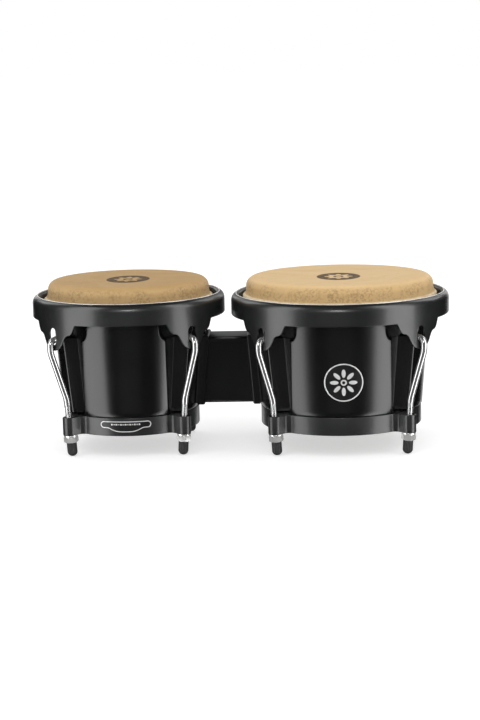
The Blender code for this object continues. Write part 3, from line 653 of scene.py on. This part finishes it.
def make_rim(drum):
    """Pressed steel: a rolled inner lip, a rounded crown, a plain band and four stepped ears."""
    outer = drum.rim_radius
    middle = outer - RIM_SHOULDER
    crown = drum.crown
    lip_z = drum.band_bottom + LIP_BOTTOM
    half = RIM_SHEET / 2
    shoulder = RIM_SHOULDER * SHOULDER_SQUASH
    shoulder_z = crown - shoulder
    within = RIM_SHOULDER - RIM_SHEET
    lip_r = middle - RIM_LIP + half
    upper = [
        *arc((lip_r, lip_z + half), half, 360, 180, 5),
        *line((lip_r - half, lip_z + half), (lip_r - half, crown - RIM_LIP), 4),
        *arc((middle, crown - RIM_LIP), RIM_LIP, 180, 90, 8)[:-1],
        *arc((middle + RIM_BEAD, crown), RIM_BEAD, 180, 0, 10)[:-1],
        *arc((middle, shoulder_z), RIM_SHOULDER, 78, 0, 15, SHOULDER_SQUASH),
    ]
    under = [
        *arc((middle, shoulder_z), within, 0, 90, 10, (shoulder - RIM_SHEET) / within),
        *arc((middle, crown - RIM_LIP), RIM_LIP - RIM_SHEET, 90, 180, 5)[1:],
    ]
    rows = []
    for angle, bottom in rim_columns(drum):
        low = bottom + half
        profile = [
            *upper,
            *line((outer, shoulder_z), (outer, low), 18),
            *arc((outer - half, low), half, 0, -180, 6),
            *line((outer - RIM_SHEET, low), (outer - RIM_SHEET, shoulder_z), 8),
            *under,
        ]
        c, s = math.cos(angle), math.sin(angle)
        rows.append([(drum.x + r * c, r * s, z) for r, z in profile])
    high, low, radius = EAR_HOLE
    outline = arc((0, -high), radius, 0, 180, 14) + arc((0, -low), radius, 180, 360, 14)
    facing = Matrix(((0, 0, 1, 0), (1, 0, 0, 0), (0, 1, 0, 0), (0, 0, 0, 1)))
    holes = []
    for angle in LUG_ANGLES:
        on_ear = shift(drum.x, 0, drum.band_bottom) @ spin(angle) @ shift(outer - half, 0, 0)
        holes.append(moved(plate([outline], 0.012), on_ear @ facing))
    mesh = cut(loft(rows, True), joined(*holes))
    name = f"{drum.name}_rim"
    rim = piece(f"{name}_pressed", mesh, COAT, drum.moving, name, 32)
    rim.data.materials.append(CROWN_PAINTED_HIGHLIGHT)
    # The bead's faces above the crown take the pale painted highlight.
    for polygon in rim.data.polygons:
        polygon.material_index = int(polygon.center.z > crown + 0.00004)


# ---- shells


def section(cone, half, floor, outer_round, inner_round):
    """One quarter turn of a shell's outline at one height, from a panel's middle to the next one's:
    the panel's arc, a rounded edge, the channel's wall and floor, and the same back."""
    centre = (math.sqrt((cone - outer_round) ** 2 - (half - outer_round) ** 2), half - outer_round)
    edge = math.atan2(centre[1], centre[0])
    foot = floor * math.sqrt(2) - half
    tangent = inner_round * math.tan(math.radians(22.5))
    points = [(cone * math.cos(a), cone * math.sin(a)) for a in np.linspace(0, edge, 25)[:-1]]
    points += arc(centre, outer_round, math.degrees(edge), 90, 6)
    points += line((centre[0], half), (foot + tangent, half), 4)
    points += arc((foot + tangent, half + inner_round), inner_round, 270, 225, 5)
    corner = (floor / math.sqrt(2),) * 2
    points += [*line(points[-1], corner, 6), corner]
    return points + [(y, x) for x, y in reversed(points[1:-1])]


def channel_at(drum, z):
    """(half width of the panel, distance of the channel's floor) at a height: the floor leans out with
    the cone, and the pocket beside an ear has round lower corners and flares at its top."""
    start = drum.band_bottom - POCKET_DROP
    share = np.clip((z - start) / POCKET_ROUND, 0, 1)
    widen = math.sqrt(1 - (1 - share) ** 2)
    flare = np.clip((z - drum.band_bottom + POCKET_FLARE) / POCKET_FLARE, 0, 1) ** 1.5
    half = drum.panel_half - POCKET_STEP * widen - POCKET_FLARE * flare
    floor = CHANNEL_FLOOR + (POCKET_FLOOR - CHANNEL_FLOOR) * widen
    return half, drum.scaled(floor) + CHANNEL_LEAN * (z - SHELL_FOOT)


def make_shell(drum):
    """Tapered ABS: four panels with rounded edges, channels for the rods, and a rounded bearing edge."""
    start = drum.band_bottom - POCKET_DROP
    heights = [
        *np.linspace(SHELL_FOOT + 0.0012, start - 0.001, 18),
        *(start + POCKET_ROUND * np.array([0, 0.02, 0.08, 0.18, 0.32, 0.5, 0.72, 1.0])),
        start + POCKET_ROUND + 0.003,
        *np.linspace(drum.band_bottom - POCKET_FLARE, drum.band_bottom, 5),
        *np.linspace(drum.band_bottom + 0.003, CHANNEL_TOP, 4),
    ]

    def outline(z, cone_in, half_in, floor_in, *rounds):
        half, floor = channel_at(drum, z)
        cone = drum.shell_r(min(z, CHANNEL_TOP))
        return quartered(section(cone - cone_in, half - half_in, floor - floor_in, *rounds))

    def ring(radius, z, like):
        return [(radius * x / math.hypot(x, y), radius * y / math.hypot(x, y)) for x, y in like], z

    outside = [(outline(z, 0, 0, 0, *SHELL_EDGES), z) for z in heights]
    inside = [(outline(z, SHELL_WALL, SHELL_WALL, SHELL_WALL, 0.003, 0.0012), z) for z in heights]
    foot = outline(SHELL_FOOT, 0.001, 0.001, 0, 0.002, 0.0004)
    low_like, top_like = outline(0.1, 0, 0, 0, *SHELL_EDGES), outside[-1][0]
    collar = drum.r(COLLAR_RADIUS)
    inner_collar = collar - SHELL_WALL
    shoulder = drum.shell_r(SHELL_SHOULDER)
    bearing = arc((shoulder - EDGE_WIDTH, SHELL_SHOULDER), EDGE_WIDTH, 0, 90, 10, EDGE_HEIGHT / EDGE_WIDTH)
    rings = [
        ring(inner_collar, COLLAR_BOTTOM + CORNER, low_like),
        ring(inner_collar + CORNER, COLLAR_BOTTOM, low_like),
        ring(collar - CORNER, COLLAR_BOTTOM, low_like),
        ring(collar, COLLAR_BOTTOM + CORNER, low_like),
        ring(collar, SHELL_FOOT - 0.0002, low_like),
        (foot, SHELL_FOOT),
        *outside,
        ring(drum.shell_r(CHANNEL_TOP + CORNER), CHANNEL_TOP + CORNER, top_like),
        ring(drum.shell_r(NECK), NECK, top_like),
        *(ring(r, z, top_like) for r, z in bearing),
        ring(shoulder - SHELL_WALL - 0.003, SHELL_SHOULDER + EDGE_HEIGHT - 0.001, top_like),
        ring(drum.shell_r(NECK + 0.002) - SHELL_WALL, NECK + 0.007, top_like),
        ring(drum.shell_r(NECK) - SHELL_WALL, NECK + 0.001, top_like),
        *reversed(inside),
        ring(inner_collar, SHELL_FOOT - 0.004, low_like),
    ]
    mesh = loft([[(drum.x + x, y, z) for x, y in loop] for loop, z in rings], True)
    name = f"{drum.name}_shell"
    piece(f"{name}_moulded", mesh, SHELL_ABS, FIXED, name, 38)


# ---- heads and hoops


def make_head(drum, surface):
    """Hide drawn over the bearing edge and down a flared, slightly puckered collar into the hoop."""
    shoulder = drum.shell_r(SHELL_SHOULDER)
    over = SKIN + GAP
    wide, tall = EDGE_WIDTH + over, EDGE_HEIGHT + over
    edge = arc((shoulder - EDGE_WIDTH, SHELL_SHOULDER), wide, 90, 0, 22, tall / wide)
    collar = drum.r(SKIN_COLLAR)
    low = drum.band_bottom + 0.004
    outside = [
        *line((0, HEAD_TOP), edge[0], 26),
        *edge,
        *((drum.r(radius), z) for radius, z in SKIN_FLARE),
        (collar, SKIN_FLARE_END),
        *line((collar, SKIN_FLARE_END), (collar, low + SKIN / 2), 6),
    ]
    squash = (tall - SKIN) / (wide - SKIN)
    inner = arc((shoulder - EDGE_WIDTH, SHELL_SHOULDER), wide - SKIN, 90, 0, 14, squash)
    hem = arc((collar - SKIN / 2, low + SKIN / 2), SKIN / 2, 0, -180, 6)
    inside = [
        *line(hem[-1], (collar - SKIN, SKIN_FLARE_END - 0.0006), 5),
        *line((collar - SKIN, SKIN_FLARE_END - 0.0006), inner[-1], 6),
        *reversed(inner),
    ]
    profile = [(0, HEAD_TOP), *outside, *hem, *inside, (0, HEAD_TOP - SKIN)]
    phase = 1.7 * drum.side

    def puckered(angle, radius, z):
        """Small pleats on the flare, where the hide is gathered to the hoop, and a slightly uneven edge."""
        flare = math.exp(-(((z - 0.156) / 0.0036) ** 2))
        pleats = math.sin(61 * angle + phase) * (0.6 + 0.4 * math.sin(7 * angle + phase))
        pleats += 0.6 * math.sin(97 * angle + 2.1 * phase)
        uneven = math.sin(3 * angle + phase) + 0.6 * math.sin(8 * angle + 2.3 * phase)
        at_edge = math.exp(-(((z - 0.1655) / 0.0045) ** 2)) * (radius > 0.05)  # not at the middle
        return radius + PLEAT * flare * pleats + UNEVEN * at_edge * uneven

    head = new_object(f"{drum.name}_hide", lathe(profile, 360, drum.x, puckered), surface, 60)
    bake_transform(head)
    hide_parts(f"{drum.name}_head")


def rounded_ring(inner, outer, low, high, inner_round, outer_round, steps):
    """The profile of a ring with round corners."""
    return [
        *arc((outer - outer_round, high - outer_round), outer_round, 90, 0, steps),
        *arc((outer - outer_round, low + outer_round), outer_round, 0, -90, steps),
        *arc((inner + inner_round, low + inner_round), inner_round, 270, 180, 3),
        *arc((inner + inner_round, high - inner_round), inner_round, 180, 90, 3),
    ]


def make_flesh_hoop(drum):
    """A steel hoop with rounded corners and a butt weld."""
    inner = drum.r(SKIN_COLLAR) + GAP
    high = drum.band_bottom + LIP_BOTTOM - GAP
    profile = rounded_ring(inner, inner + HOOP_WIDTH, high - HOOP_HEIGHT, high, 0.0007, 0.0014, 5)

    def weld(angle, radius, z):
        dip = 0.00015 * math.exp(-(((angle - math.pi / 2) / 0.03) ** 2))
        return radius - dip * (radius > inner + HOOP_WIDTH / 2)

    mesh = lathe(profile, 192, drum.x, weld)
    piece(f"{drum.name}_hoop_rolled", mesh, ZINC, drum.moving, f"{drum.name}_flesh_hoop")


# ---- ring and tuning hardware


def ring_outline(drum):
    """The bottom ring from above: a circle that flows into four lug noses."""
    radius = drum.r(RING_RADIUS)
    aside = LUG_NOSE + LUG_FILLET
    centre = (math.sqrt((radius + LUG_FILLET) ** 2 - aside**2), -aside)
    leave = math.degrees(math.atan2(aside, centre[0]))
    half = [
        *arc((0, 0), radius, -45, -leave, 27)[:-1],
        *arc(centre, LUG_FILLET, 180 - leave, 90, 9),
        *arc((drum.r(LUG_RADIUS), 0), LUG_NOSE, -90, 0, 14),
    ]
    return quartered(half + [(x, -y) for x, y in reversed(half[1:-1])], TAU / 8)


def rod_place(drum, z):
    return drum.r(ROD_FOOT_RADIUS) + ROD_SLOPE * z, z


def on_rod(drum, z, angle):
    """A matrix that puts an object's Z axis on one rod's threaded part."""
    radius, height = rod_place(drum, z)
    return shift(drum.x, 0, 0) @ spin(angle) @ shift(radius, 0, height) @ spin(math.atan(ROD_SLOPE), "Y")


def make_bottom_ring(drum):
    """A steel band with four folded lugs, bored in line with the rods, and a lip turned in below."""
    radius = drum.r(RING_RADIUS)
    middle = (RING_TOP + RING_BOTTOM) / 2
    rod_r = rod_place(drum, middle)[0]
    outward = [Vector((math.cos(angle), math.sin(angle), 0)) for angle in LUG_ANGLES]
    bores = [circle(rod_r * way.x, rod_r * way.y, LUG_BORE, 24) for way in outward]
    inner = circle(0, 0, radius - RING_SHEET, 160)
    band = plate([ring_outline(drum), inner, *bores], RING_TOP - RING_BOTTOM, 0.0007, 3)
    for vertex in band.vertices:
        for way in outward:
            if (vertex.co.xy - rod_r * way.xy).length < LUG_BORE + 0.001:
                vertex.co += way * ROD_SLOPE * vertex.co.z
    band.transform(shift(drum.x, 0, middle))
    rings = [circle(0, 0, radius - inward, 160) for inward in (RING_SHEET / 2, RING_LIP)]
    lip = plate(rings, RING_SHEET, 0.0006, 2)
    lip.transform(shift(drum.x, 0, RING_BOTTOM + RING_SHEET / 2))
    mesh = joined(band, lip)
    piece(f"{drum.name}_ring_folded", mesh, RING_COAT, FIXED, f"{drum.name}_bottom_ring")


def rounded_path(corners, radii, steps):
    """A path through 2D corners, each inner corner replaced by an arc."""
    path = [corners[0]]
    for before, corner, after, radius in zip(corners, corners[1:], corners[2:], radii):
        corner = Vector(corner)
        back = (Vector(before) - corner).normalized()
        ahead = (Vector(after) - corner).normalized()
        half = back.angle(ahead) / 2
        centre = corner + (back + ahead).normalized() * radius / math.sin(half)
        start = corner + back * radius / math.tan(half) - centre
        end = corner + ahead * radius / math.tan(half) - centre
        for i in range(steps + 1):
            path.append(tuple(centre + start.slerp(end, i / steps).normalized() * radius))
    return path + [corners[-1]]


def hook_mesh(drum):
    """A bent rod in the XZ plane, with a rounded tip and a rolled thread on its lower part."""
    outside = drum.rim_radius + HOOK_OUT
    tip, over, under, bend = (drum.band_bottom - drop for drop in HOOK_DROPS)
    corners = [(outside - HOOK_TIP, tip), (outside, over), (outside, under)]
    corners += [rod_place(drum, bend), rod_place(drum, ROD_END)]
    path = [Vector(p) for p in rounded_path(corners, HOOK_BENDS, 14)]
    stations = [(path[0], 0.0)]
    travelled = 0.0
    for a, b in zip(path, path[1:]):
        length = (b - a).length
        step = THREAD_PITCH / 6 if b.y < THREAD_TOP else 0.004
        count = max(1, math.ceil(length / step))
        for i in range(1, count + 1):
            stations.append((a.lerp(b, i / count), travelled + length * i / count))
        travelled += length
    rings = []
    for i, (point, along) in enumerate(stations):
        ahead = stations[min(i + 1, len(stations) - 1)][0] - stations[max(i - 1, 0)][0]
        normal = Vector((-ahead.y, ahead.x)).normalized()
        ends = min(along, travelled - along)
        dome = math.sqrt(max(0.0, 1 - (1 - min(ends / 0.0014, 1)) ** 2))
        fade = min(1.0, max(0.0, (THREAD_TOP - point.y) / 0.002))
        ring = []
        for k in range(ROD_SIDES):
            phase = k / ROD_SIDES
            wave = (along / THREAD_PITCH - phase) % 1.0
            depth = THREAD_DEPTH * fade * (1 - abs(2 * wave - 1)) ** 0.8
            radius = max((ROD_RADIUS - depth) * (0.55 + 0.45 * dome), 0.0002)
            spot = point + normal * radius * math.cos(TAU * phase)
            ring.append((spot.x, radius * math.sin(TAU * phase), spot.y))
        rings.append(ring)
    return loft(rings)


def hex_mesh(flats, height, bore):
    """A chamfered hexagon along Z from 0 to its height, with a bore, or solid where the bore is 0."""
    inscribed = flats / 2
    chamfer = inscribed * 0.965
    inner = bore or 0.0001
    mouth, lead = (inner + 0.0004, 0.0004) if bore else (inner * 2, 0)
    columns = []
    for angle in np.arange(96) * TAU / 96:
        reach = inscribed / math.cos((angle + math.pi / 6) % (math.pi / 3) - math.pi / 6)
        drop = (reach - chamfer) * math.tan(math.radians(30))
        below = [(inner, lead), (mouth, 0), (chamfer, 0), (reach, drop)]
        profile = below + [(r, height - z) for r, z in reversed(below)]
        columns.append([(r * math.cos(angle), r * math.sin(angle), z) for r, z in profile])
    return loft(columns, True)


def foot_mesh():
    """A rubber tip with a smooth collar, fluted sides and a domed end worn flat."""
    top = NUT_BOTTOM - GAP
    hole = ROD_RADIUS + GAP
    radius = FOOT_RADIUS
    dome = arc((0, 0.0045), radius, 0, -76, 9, 0.0045 / radius)
    profile = [
        (0, ROD_END - GAP),
        (hole, ROD_END - GAP),
        (hole, top),
        *arc((radius - 0.0007, top - 0.0007), 0.0007, 90, 0, 4),
        (radius, top - FOOT_COLLAR),
        (radius, top - 0.002),
        *line((radius, top - 0.002), dome[0], 6),
        *dome,
        (0, dome[-1][1]),
    ]

    def fluted(angle, r, z):
        if r < hole + 0.0001 or z > top - FOOT_COLLAR - 0.0001:
            return r
        groove = max(0.0, math.cos(FLUTES * angle)) ** 2
        return r * (1 - FLUTE_DEPTH * groove * min(1.0, z / 0.0025))

    return lathe(profile, 120, shape=fluted)


def make_tuning_hardware(drum):
    hook = hook_mesh(drum)
    nut = hex_mesh(NUT_FLATS, NUT_HEIGHT, BORE)
    washer = lathe(rounded_ring(BORE, WASHER_RADIUS, 0, WASHER_HEIGHT, 0.0004, 0.0004, 3), 48)
    foot = foot_mesh()
    name = drum.name
    for i, angle in enumerate(LUG_ANGLES, 1):
        mesh = moved(hook, shift(drum.x, 0, 0) @ spin(angle))
        piece(f"{name}_hook_rod_{i}", mesh, CHROME, drum.moving, f"{name}_hook_{i}", 50)
        mesh, body = moved(nut, on_rod(drum, NUT_BOTTOM, angle)), f"{name}_tuning_nut_{i}"
        piece(f"{name}_hex_nut_{i}", mesh, BRIGHT_ZINC, body, f"{name}_nut_{i}", 24)
        mesh = moved(washer, on_rod(drum, LUG_SEAT - GAP - WASHER_HEIGHT, angle))
        piece(f"{name}_flat_washer_{i}", mesh, BRIGHT_ZINC, FIXED, f"{name}_washer_{i}")
        mesh = moved(foot, on_rod(drum, 0, angle))
        piece(f"{name}_rubber_tip_{i}", mesh, TIP_RUBBER, drum.moving, f"{name}_foot_{i}", 48)


# ---- centre block


def saddle_face(drum, z, sunk=0.0):
    return drum.x + drum.side * (drum.shell_r(z) + GASKET + SADDLE_THICKNESS - sunk)


def between_saddles(low, high, sunk):
    """The outline of a part of the block whose ends are sunk this far into the saddles."""
    corners = ((MACHO, high), (MACHO, low), (HEMBRA, low), (HEMBRA, high))
    return [(saddle_face(drum, z, sunk), z) for drum, z in corners]


def prism(outline, low_y, high_y, width, segments, angle=30):
    """An XZ outline drawn out along Y, with rounded corners."""
    mesh = moved(plate([outline], high_y - low_y), shift(0, (low_y + high_y) / 2, 0) @ spin(TAU / 4, "X"))
    obj = linked("prism", facing_out(mesh))
    modifier = obj.modifiers.new("edges", "BEVEL")
    modifier.width = width
    modifier.segments = segments
    modifier.limit_method = "ANGLE"
    modifier.angle_limit = math.radians(angle)
    return baked(obj)


def make_center_block():
    """A hollow block, open at the rear, with a sunk front panel and a rounded saddle at each end."""
    low, high, deep = BLOCK_BOTTOM, BLOCK_TOP, BLOCK_HALF_DEPTH
    saddles = []
    for drum in DRUMS:
        bottom, top = low - SADDLE_LAP, high + SADDLE_LAP
        into_shell = -drum.side * SADDLE_DEPTH
        outline = [
            (saddle_face(drum, high), top),
            (saddle_face(drum, high), high),
            (saddle_face(drum, low), bottom),
            (saddle_face(drum, bottom) + into_shell, bottom),
            (saddle_face(drum, top) + into_shell, top),
        ]
        saddles.append(prism(outline, -deep - SADDLE_LAP, deep + SADDLE_LAP, 0.0017, 4, 20))
    body = prism(between_saddles(low, high, 0.004), -deep, deep, 0.0026, 5)
    block = cut(body, *saddles, operation="UNION")

    middle, half_rib = (low + high) / 2, BLOCK_RIB / 2
    cutters = []
    for bottom, top in ((low + BLOCK_WALL, middle - half_rib), (middle + half_rib, high - BLOCK_WALL)):
        hollow = between_saddles(bottom, top, GAP)
        cutters.append(prism(hollow, BLOCK_WALL - deep, deep + 0.01, 0.0008, 2))
    panel = between_saddles(low + PANEL_FOOT, high - PANEL_HEAD, -GAP)
    cutters.append(prism(panel, -deep - 0.003, PANEL_SUNK - deep, 0.0005, 3))
    for drum in DRUMS:
        cone = [(drum.shell_r(z) + GASKET, z) for z in (drum.band_bottom, RING_TOP)]
        cutters.append(lathe([(0, drum.band_bottom), *cone, (0, RING_TOP)], 240, drum.x))
    piece("block_moulded", cut(block, *cutters), BLOCK_ABS, FIXED, "center_block", 28)


def make_gasket(drum):
    """A rubber sheet between a saddle and a shell, bent to the drum's side."""
    deep = BLOCK_HALF_DEPTH + SADDLE_LAP - 0.0004
    zs = np.linspace(BLOCK_BOTTOM, BLOCK_TOP, 13)
    rows = []
    for y in np.linspace(-deep, deep, 15):
        row = []
        for z, off in [*((z, GASKET - GAP) for z in zs), *((z, GAP) for z in zs[::-1])]:
            row.append((drum.x + drum.side * math.sqrt((drum.shell_r(z) + off) ** 2 - y**2), y, z))
        rows.append(row)
    mesh = loft(rows)
    piece(f"{drum.name}_gasket_sheet", mesh, GASKET_RUBBER, FIXED, f"{drum.name}_block_gasket")


def make_block_bolts(drum):
    """Flanged hex bolts from inside the shell, with their nuts in the block."""
    shank = [(0, 0.0008), (0.003, 0.0008), (0.003, -0.019), (0.0026, -0.0198), (0, -0.0198)]
    flange = [(0, 0.0013), (0.0058, 0.0013), (0.0068, 0.0007), (0.007, 0.0003), (0.007, 0), (0, 0)]
    head = moved(hex_mesh(0.0094, 0.003, 0), shift(0, 0, 0.0012))
    bolt = joined(lathe(shank, 32), lathe(flange, 48), head)
    nut = moved(hex_mesh(0.01, 0.005, 0.0031), shift(0, 0, -0.005))
    along = spin(-drum.side * TAU / 4, "Y")
    name = drum.name
    for i, z in enumerate(BOLT_HEIGHTS, 1):
        under_head = drum.shell_r(z) - SHELL_WALL - 0.0013
        mesh = moved(bolt, shift(drum.x + drum.side * under_head, 0, z) @ along)
        piece(f"{name}_flange_bolt_{i}", mesh, ZINC, FIXED, f"{name}_block_bolt_{i}", 28)
        mesh = moved(nut, shift(saddle_face(drum, z, -0.0008), 0, z) @ along)
        piece(f"{name}_bolt_nut_{i}", mesh, ZINC, FIXED, f"{name}_block_nut_{i}", 24)


# ---- badge and label


def on_badge(x, y, height):
    """A point of the flat badge design, bent to the front of the hembra's shell."""
    z = BADGE_HEIGHT + y
    radius = HEMBRA.shell_r(z) + GAP + height
    angle = BADGE_TURN + x / HEMBRA.shell_r(BADGE_HEIGHT)
    return HEMBRA.x + radius * math.sin(angle), -radius * math.cos(angle), z


def design(outlines, thickness, lift, rounding=0.00015):
    mesh = sliced(plate(outlines, thickness, rounding, 2), 0.0012)
    mesh.transform(Matrix.Translation((0, 0, lift + thickness / 2)))
    return mesh


def badge_piece(name, mesh, surface):
    piece(name, bent(mesh, on_badge), surface, FIXED, "shell_badge")


def make_badge():
    """A silver ring round a black field, with a plain eight-petalled rosette."""
    ring = [
        (BADGE_RADIUS - 0.0012, 0),
        (BADGE_RADIUS, 0),
        *arc((BADGE_RADIUS - 0.0006, 0.0007), 0.0006, 0, 180, 8, 0.8),
    ]
    petal = circle(0.0092, 0, 0.0042, 24, 0.46)
    rosette = [design([rotated(petal, TAU * i / 8)], 0.0004, 0.0005) for i in range(8)]
    rosette.append(design([circle(0, 0, 0.003, 24), circle(0, 0, 0.0016, 12)], 0.0004, 0.0005))
    badge_piece("badge_ring_and_rosette", joined(lathe(ring, 144), *rosette), SILVER)
    badge_piece("badge_field", design([circle(0, 0, BADGE_RADIUS - 0.001, 120)], 0.0006, 0), FIELD)


def on_label(x, y, height):
    radius = MACHO.r(RING_RADIUS) + GAP / 3 + height
    angle = x / MACHO.r(RING_RADIUS)
    return MACHO.x + radius * math.sin(angle), -radius * math.cos(angle), LABEL_MIDDLE + y


def label_outline(inset):
    """A long plate with round ends and a rounded belly, all of it smaller by the inset."""
    end = LABEL_END - inset
    half = arc((LABEL_HALF - LABEL_END, 0), end, 90, -90, 16)
    half += [(x, -y - end) for x, y in LABEL_BELLY]
    top = [(x, end) for x in np.linspace(-LABEL_HALF + 0.005, LABEL_HALF - 0.005, 19)]
    return top + half + [(-x, y) for x, y in reversed(half[:-1])]


def label_piece(name, mesh, surface):
    piece(name, bent(mesh, on_label), surface, FIXED, "ring_label")


def make_label():
    """A silver border round a black field, with a row of small silver pips."""
    silver = [design([label_outline(0.0), label_outline(0.0008)], 0.0007, 0)]
    for i in range(-6, 7):
        pip = circle(PIP_SPACING * i, 0.0002, 0.00066 if i % 2 else 0.00092, 12)
        silver.append(design([pip], 0.0002, 0.0003, 0.00005))
    label_piece("label_border_and_pips", joined(*silver), SILVER)
    label_piece("label_field", design([label_outline(0.0006)], 0.0004, 0), FIELD)


# ---- stage, lights and camera


def make_stage():
    """A pale paper floor that glows a little, so that it stays near white round the object."""
    n = Nodes("floor_paper", Emission_Color=(1, 1, 1, 1), Emission_Strength=0.56)
    paper = n.mix(n.noise(3, 3), (0.58,) * 3, (0.61,) * 3)
    surface = n.made(paper, n.spread(n.noise(8, 3), 0.3, 0.7, 0.85, 0.95))
    mesh = bpy.data.meshes.new("floor")
    corners = [(x * FLOOR_REACH, y * FLOOR_REACH, 0) for x, y in ((-1, -1), (1, -1), (1, 1), (-1, 1))]
    mesh.from_pydata(corners, [], [(0, 1, 2, 3)])
    floor = new_object("floor", mesh, surface, 35)
    floor.location.z = -0.0002
    floor.visible_glossy = False


def softbox(name, azimuth, elevation, distance, width, height, radiance, glossy=True):
    """A rectangle of light that faces the object. Azimuth is from the player's side, towards +X.
    It shows in glossy surfaces only, or lights matt ones only."""
    a, e = math.radians(azimuth), math.radians(elevation)
    away = Vector((math.sin(a) * math.cos(e), -math.cos(a) * math.cos(e), math.sin(e)))
    data = bpy.data.lights.new(name, "AREA")
    data.shape = "RECTANGLE"
    data.size, data.size_y = width, height
    data.energy = radiance * math.pi * width * height
    light = linked(name, data)
    turn = away.to_track_quat("Z", "Y")
    light.matrix_world = Matrix.LocRotScale(LIGHTS_AIM + away * distance, turn, None)
    light.visible_camera = False
    light.visible_diffuse = not glossy
    light.visible_glossy = glossy
    return light


def reach(light, name, state):
    """The light reaches all but the named piece ("EXCLUDE"), or nothing else ("INCLUDE")."""
    receivers = bpy.data.collections.new(light.name + "_reach")
    receivers.objects.link(bpy.data.objects[name])
    receivers.collection_objects[0].light_linking.link_state = state
    light.light_linking.receiver_collection = receivers


def make_lights():
    """A white surround for matt surfaces, panels for the gloss, and two soft lights from above."""
    scene = bpy.context.scene
    scene.world = bpy.data.worlds.new("studio")
    scene.world.use_nodes = True
    background = scene.world.node_tree.nodes["Background"]
    background.inputs["Color"].default_value = (1, 1, 1, 1)
    background.inputs["Strength"].default_value = 1.0
    scene.world.cycles_visibility.glossy = False
    softbox("panel_left", -58, 0, 0.68, 0.41, 2.0, 4.0)
    softbox("panel_right", 63.5, 0, 0.63, 0.31, 2.0, 5.0)
    softbox("panel_front", 0, 0, 2.6, 1.6, 3.0, 0.12)
    softbox("panel_back", 180, 10, 1.9, 1.8, 2.2, 0.35)
    for side, name in ((-1, "left"), (1, "right")):
        softbox(f"panel_behind_{name}", 155 * side, 0, 1.5, 0.35, 2.4, 1.0)
        softbox(f"panel_rear_{name}", 128 * side, 34, 1.6, 0.6, 0.8, 2.6)
    crown = softbox("panel_crown", 0, 21, 1.5, 0.4, 0.26, 18.0)
    reach(crown, "block_moulded", "EXCLUDE")
    edge = softbox("panel_line", 0, 58, 1.5, 0.4, 0.26, 15.0)
    reach(edge, "block_moulded", "INCLUDE")
    softbox("soft_top", -25, 55, 1.9, 1.4, 1.2, 0.9, False)
    softbox("soft_right", 65, 30, 1.6, 0.7, 1.2, 0.7, False)


def make_camera():
    """The viewpoint of the photograph: a long lens, a little above the heads."""
    data = bpy.data.cameras.new("camera")
    data.lens = CAMERA_LENS
    data.sensor_width = 36
    data.clip_start, data.clip_end = 0.05, 100
    camera = linked("camera", data)
    yaw, pitch, roll = (math.radians(a) for a in CAMERA_TURN)
    ahead = Vector((math.sin(yaw) * math.cos(pitch), math.cos(yaw) * math.cos(pitch), math.sin(pitch)))
    level = ahead.cross(Vector((0, 0, 1))).normalized()
    upright = level.cross(ahead)
    right = level * math.cos(roll) + upright * math.sin(roll)
    up = upright * math.cos(roll) - level * math.sin(roll)
    turn = Matrix((right, up, -ahead)).transposed().to_4x4()
    camera.matrix_world = Matrix.Translation(CAMERA_PLACE) @ turn
    bpy.context.scene.camera = camera


def main():
    small = hide("hide_small", MACHO, (0.0008, -0.0085), *SMALL_TANS)
    large = hide("hide_large", HEMBRA, (-0.0011, -0.0155), *LARGE_TANS)
    skins = {MACHO: small, HEMBRA: large}
    for drum in DRUMS:
        make_shell(drum)
        make_rim(drum)
        make_head(drum, skins[drum])
        make_flesh_hoop(drum)
        make_bottom_ring(drum)
        make_tuning_hardware(drum)
        make_gasket(drum)
        make_block_bolts(drum)
    make_center_block()
    make_badge()
    make_label()
    make_stage()
    make_lights()
    make_camera()
    bpy.context.scene.view_settings.view_transform = "Standard"


main()
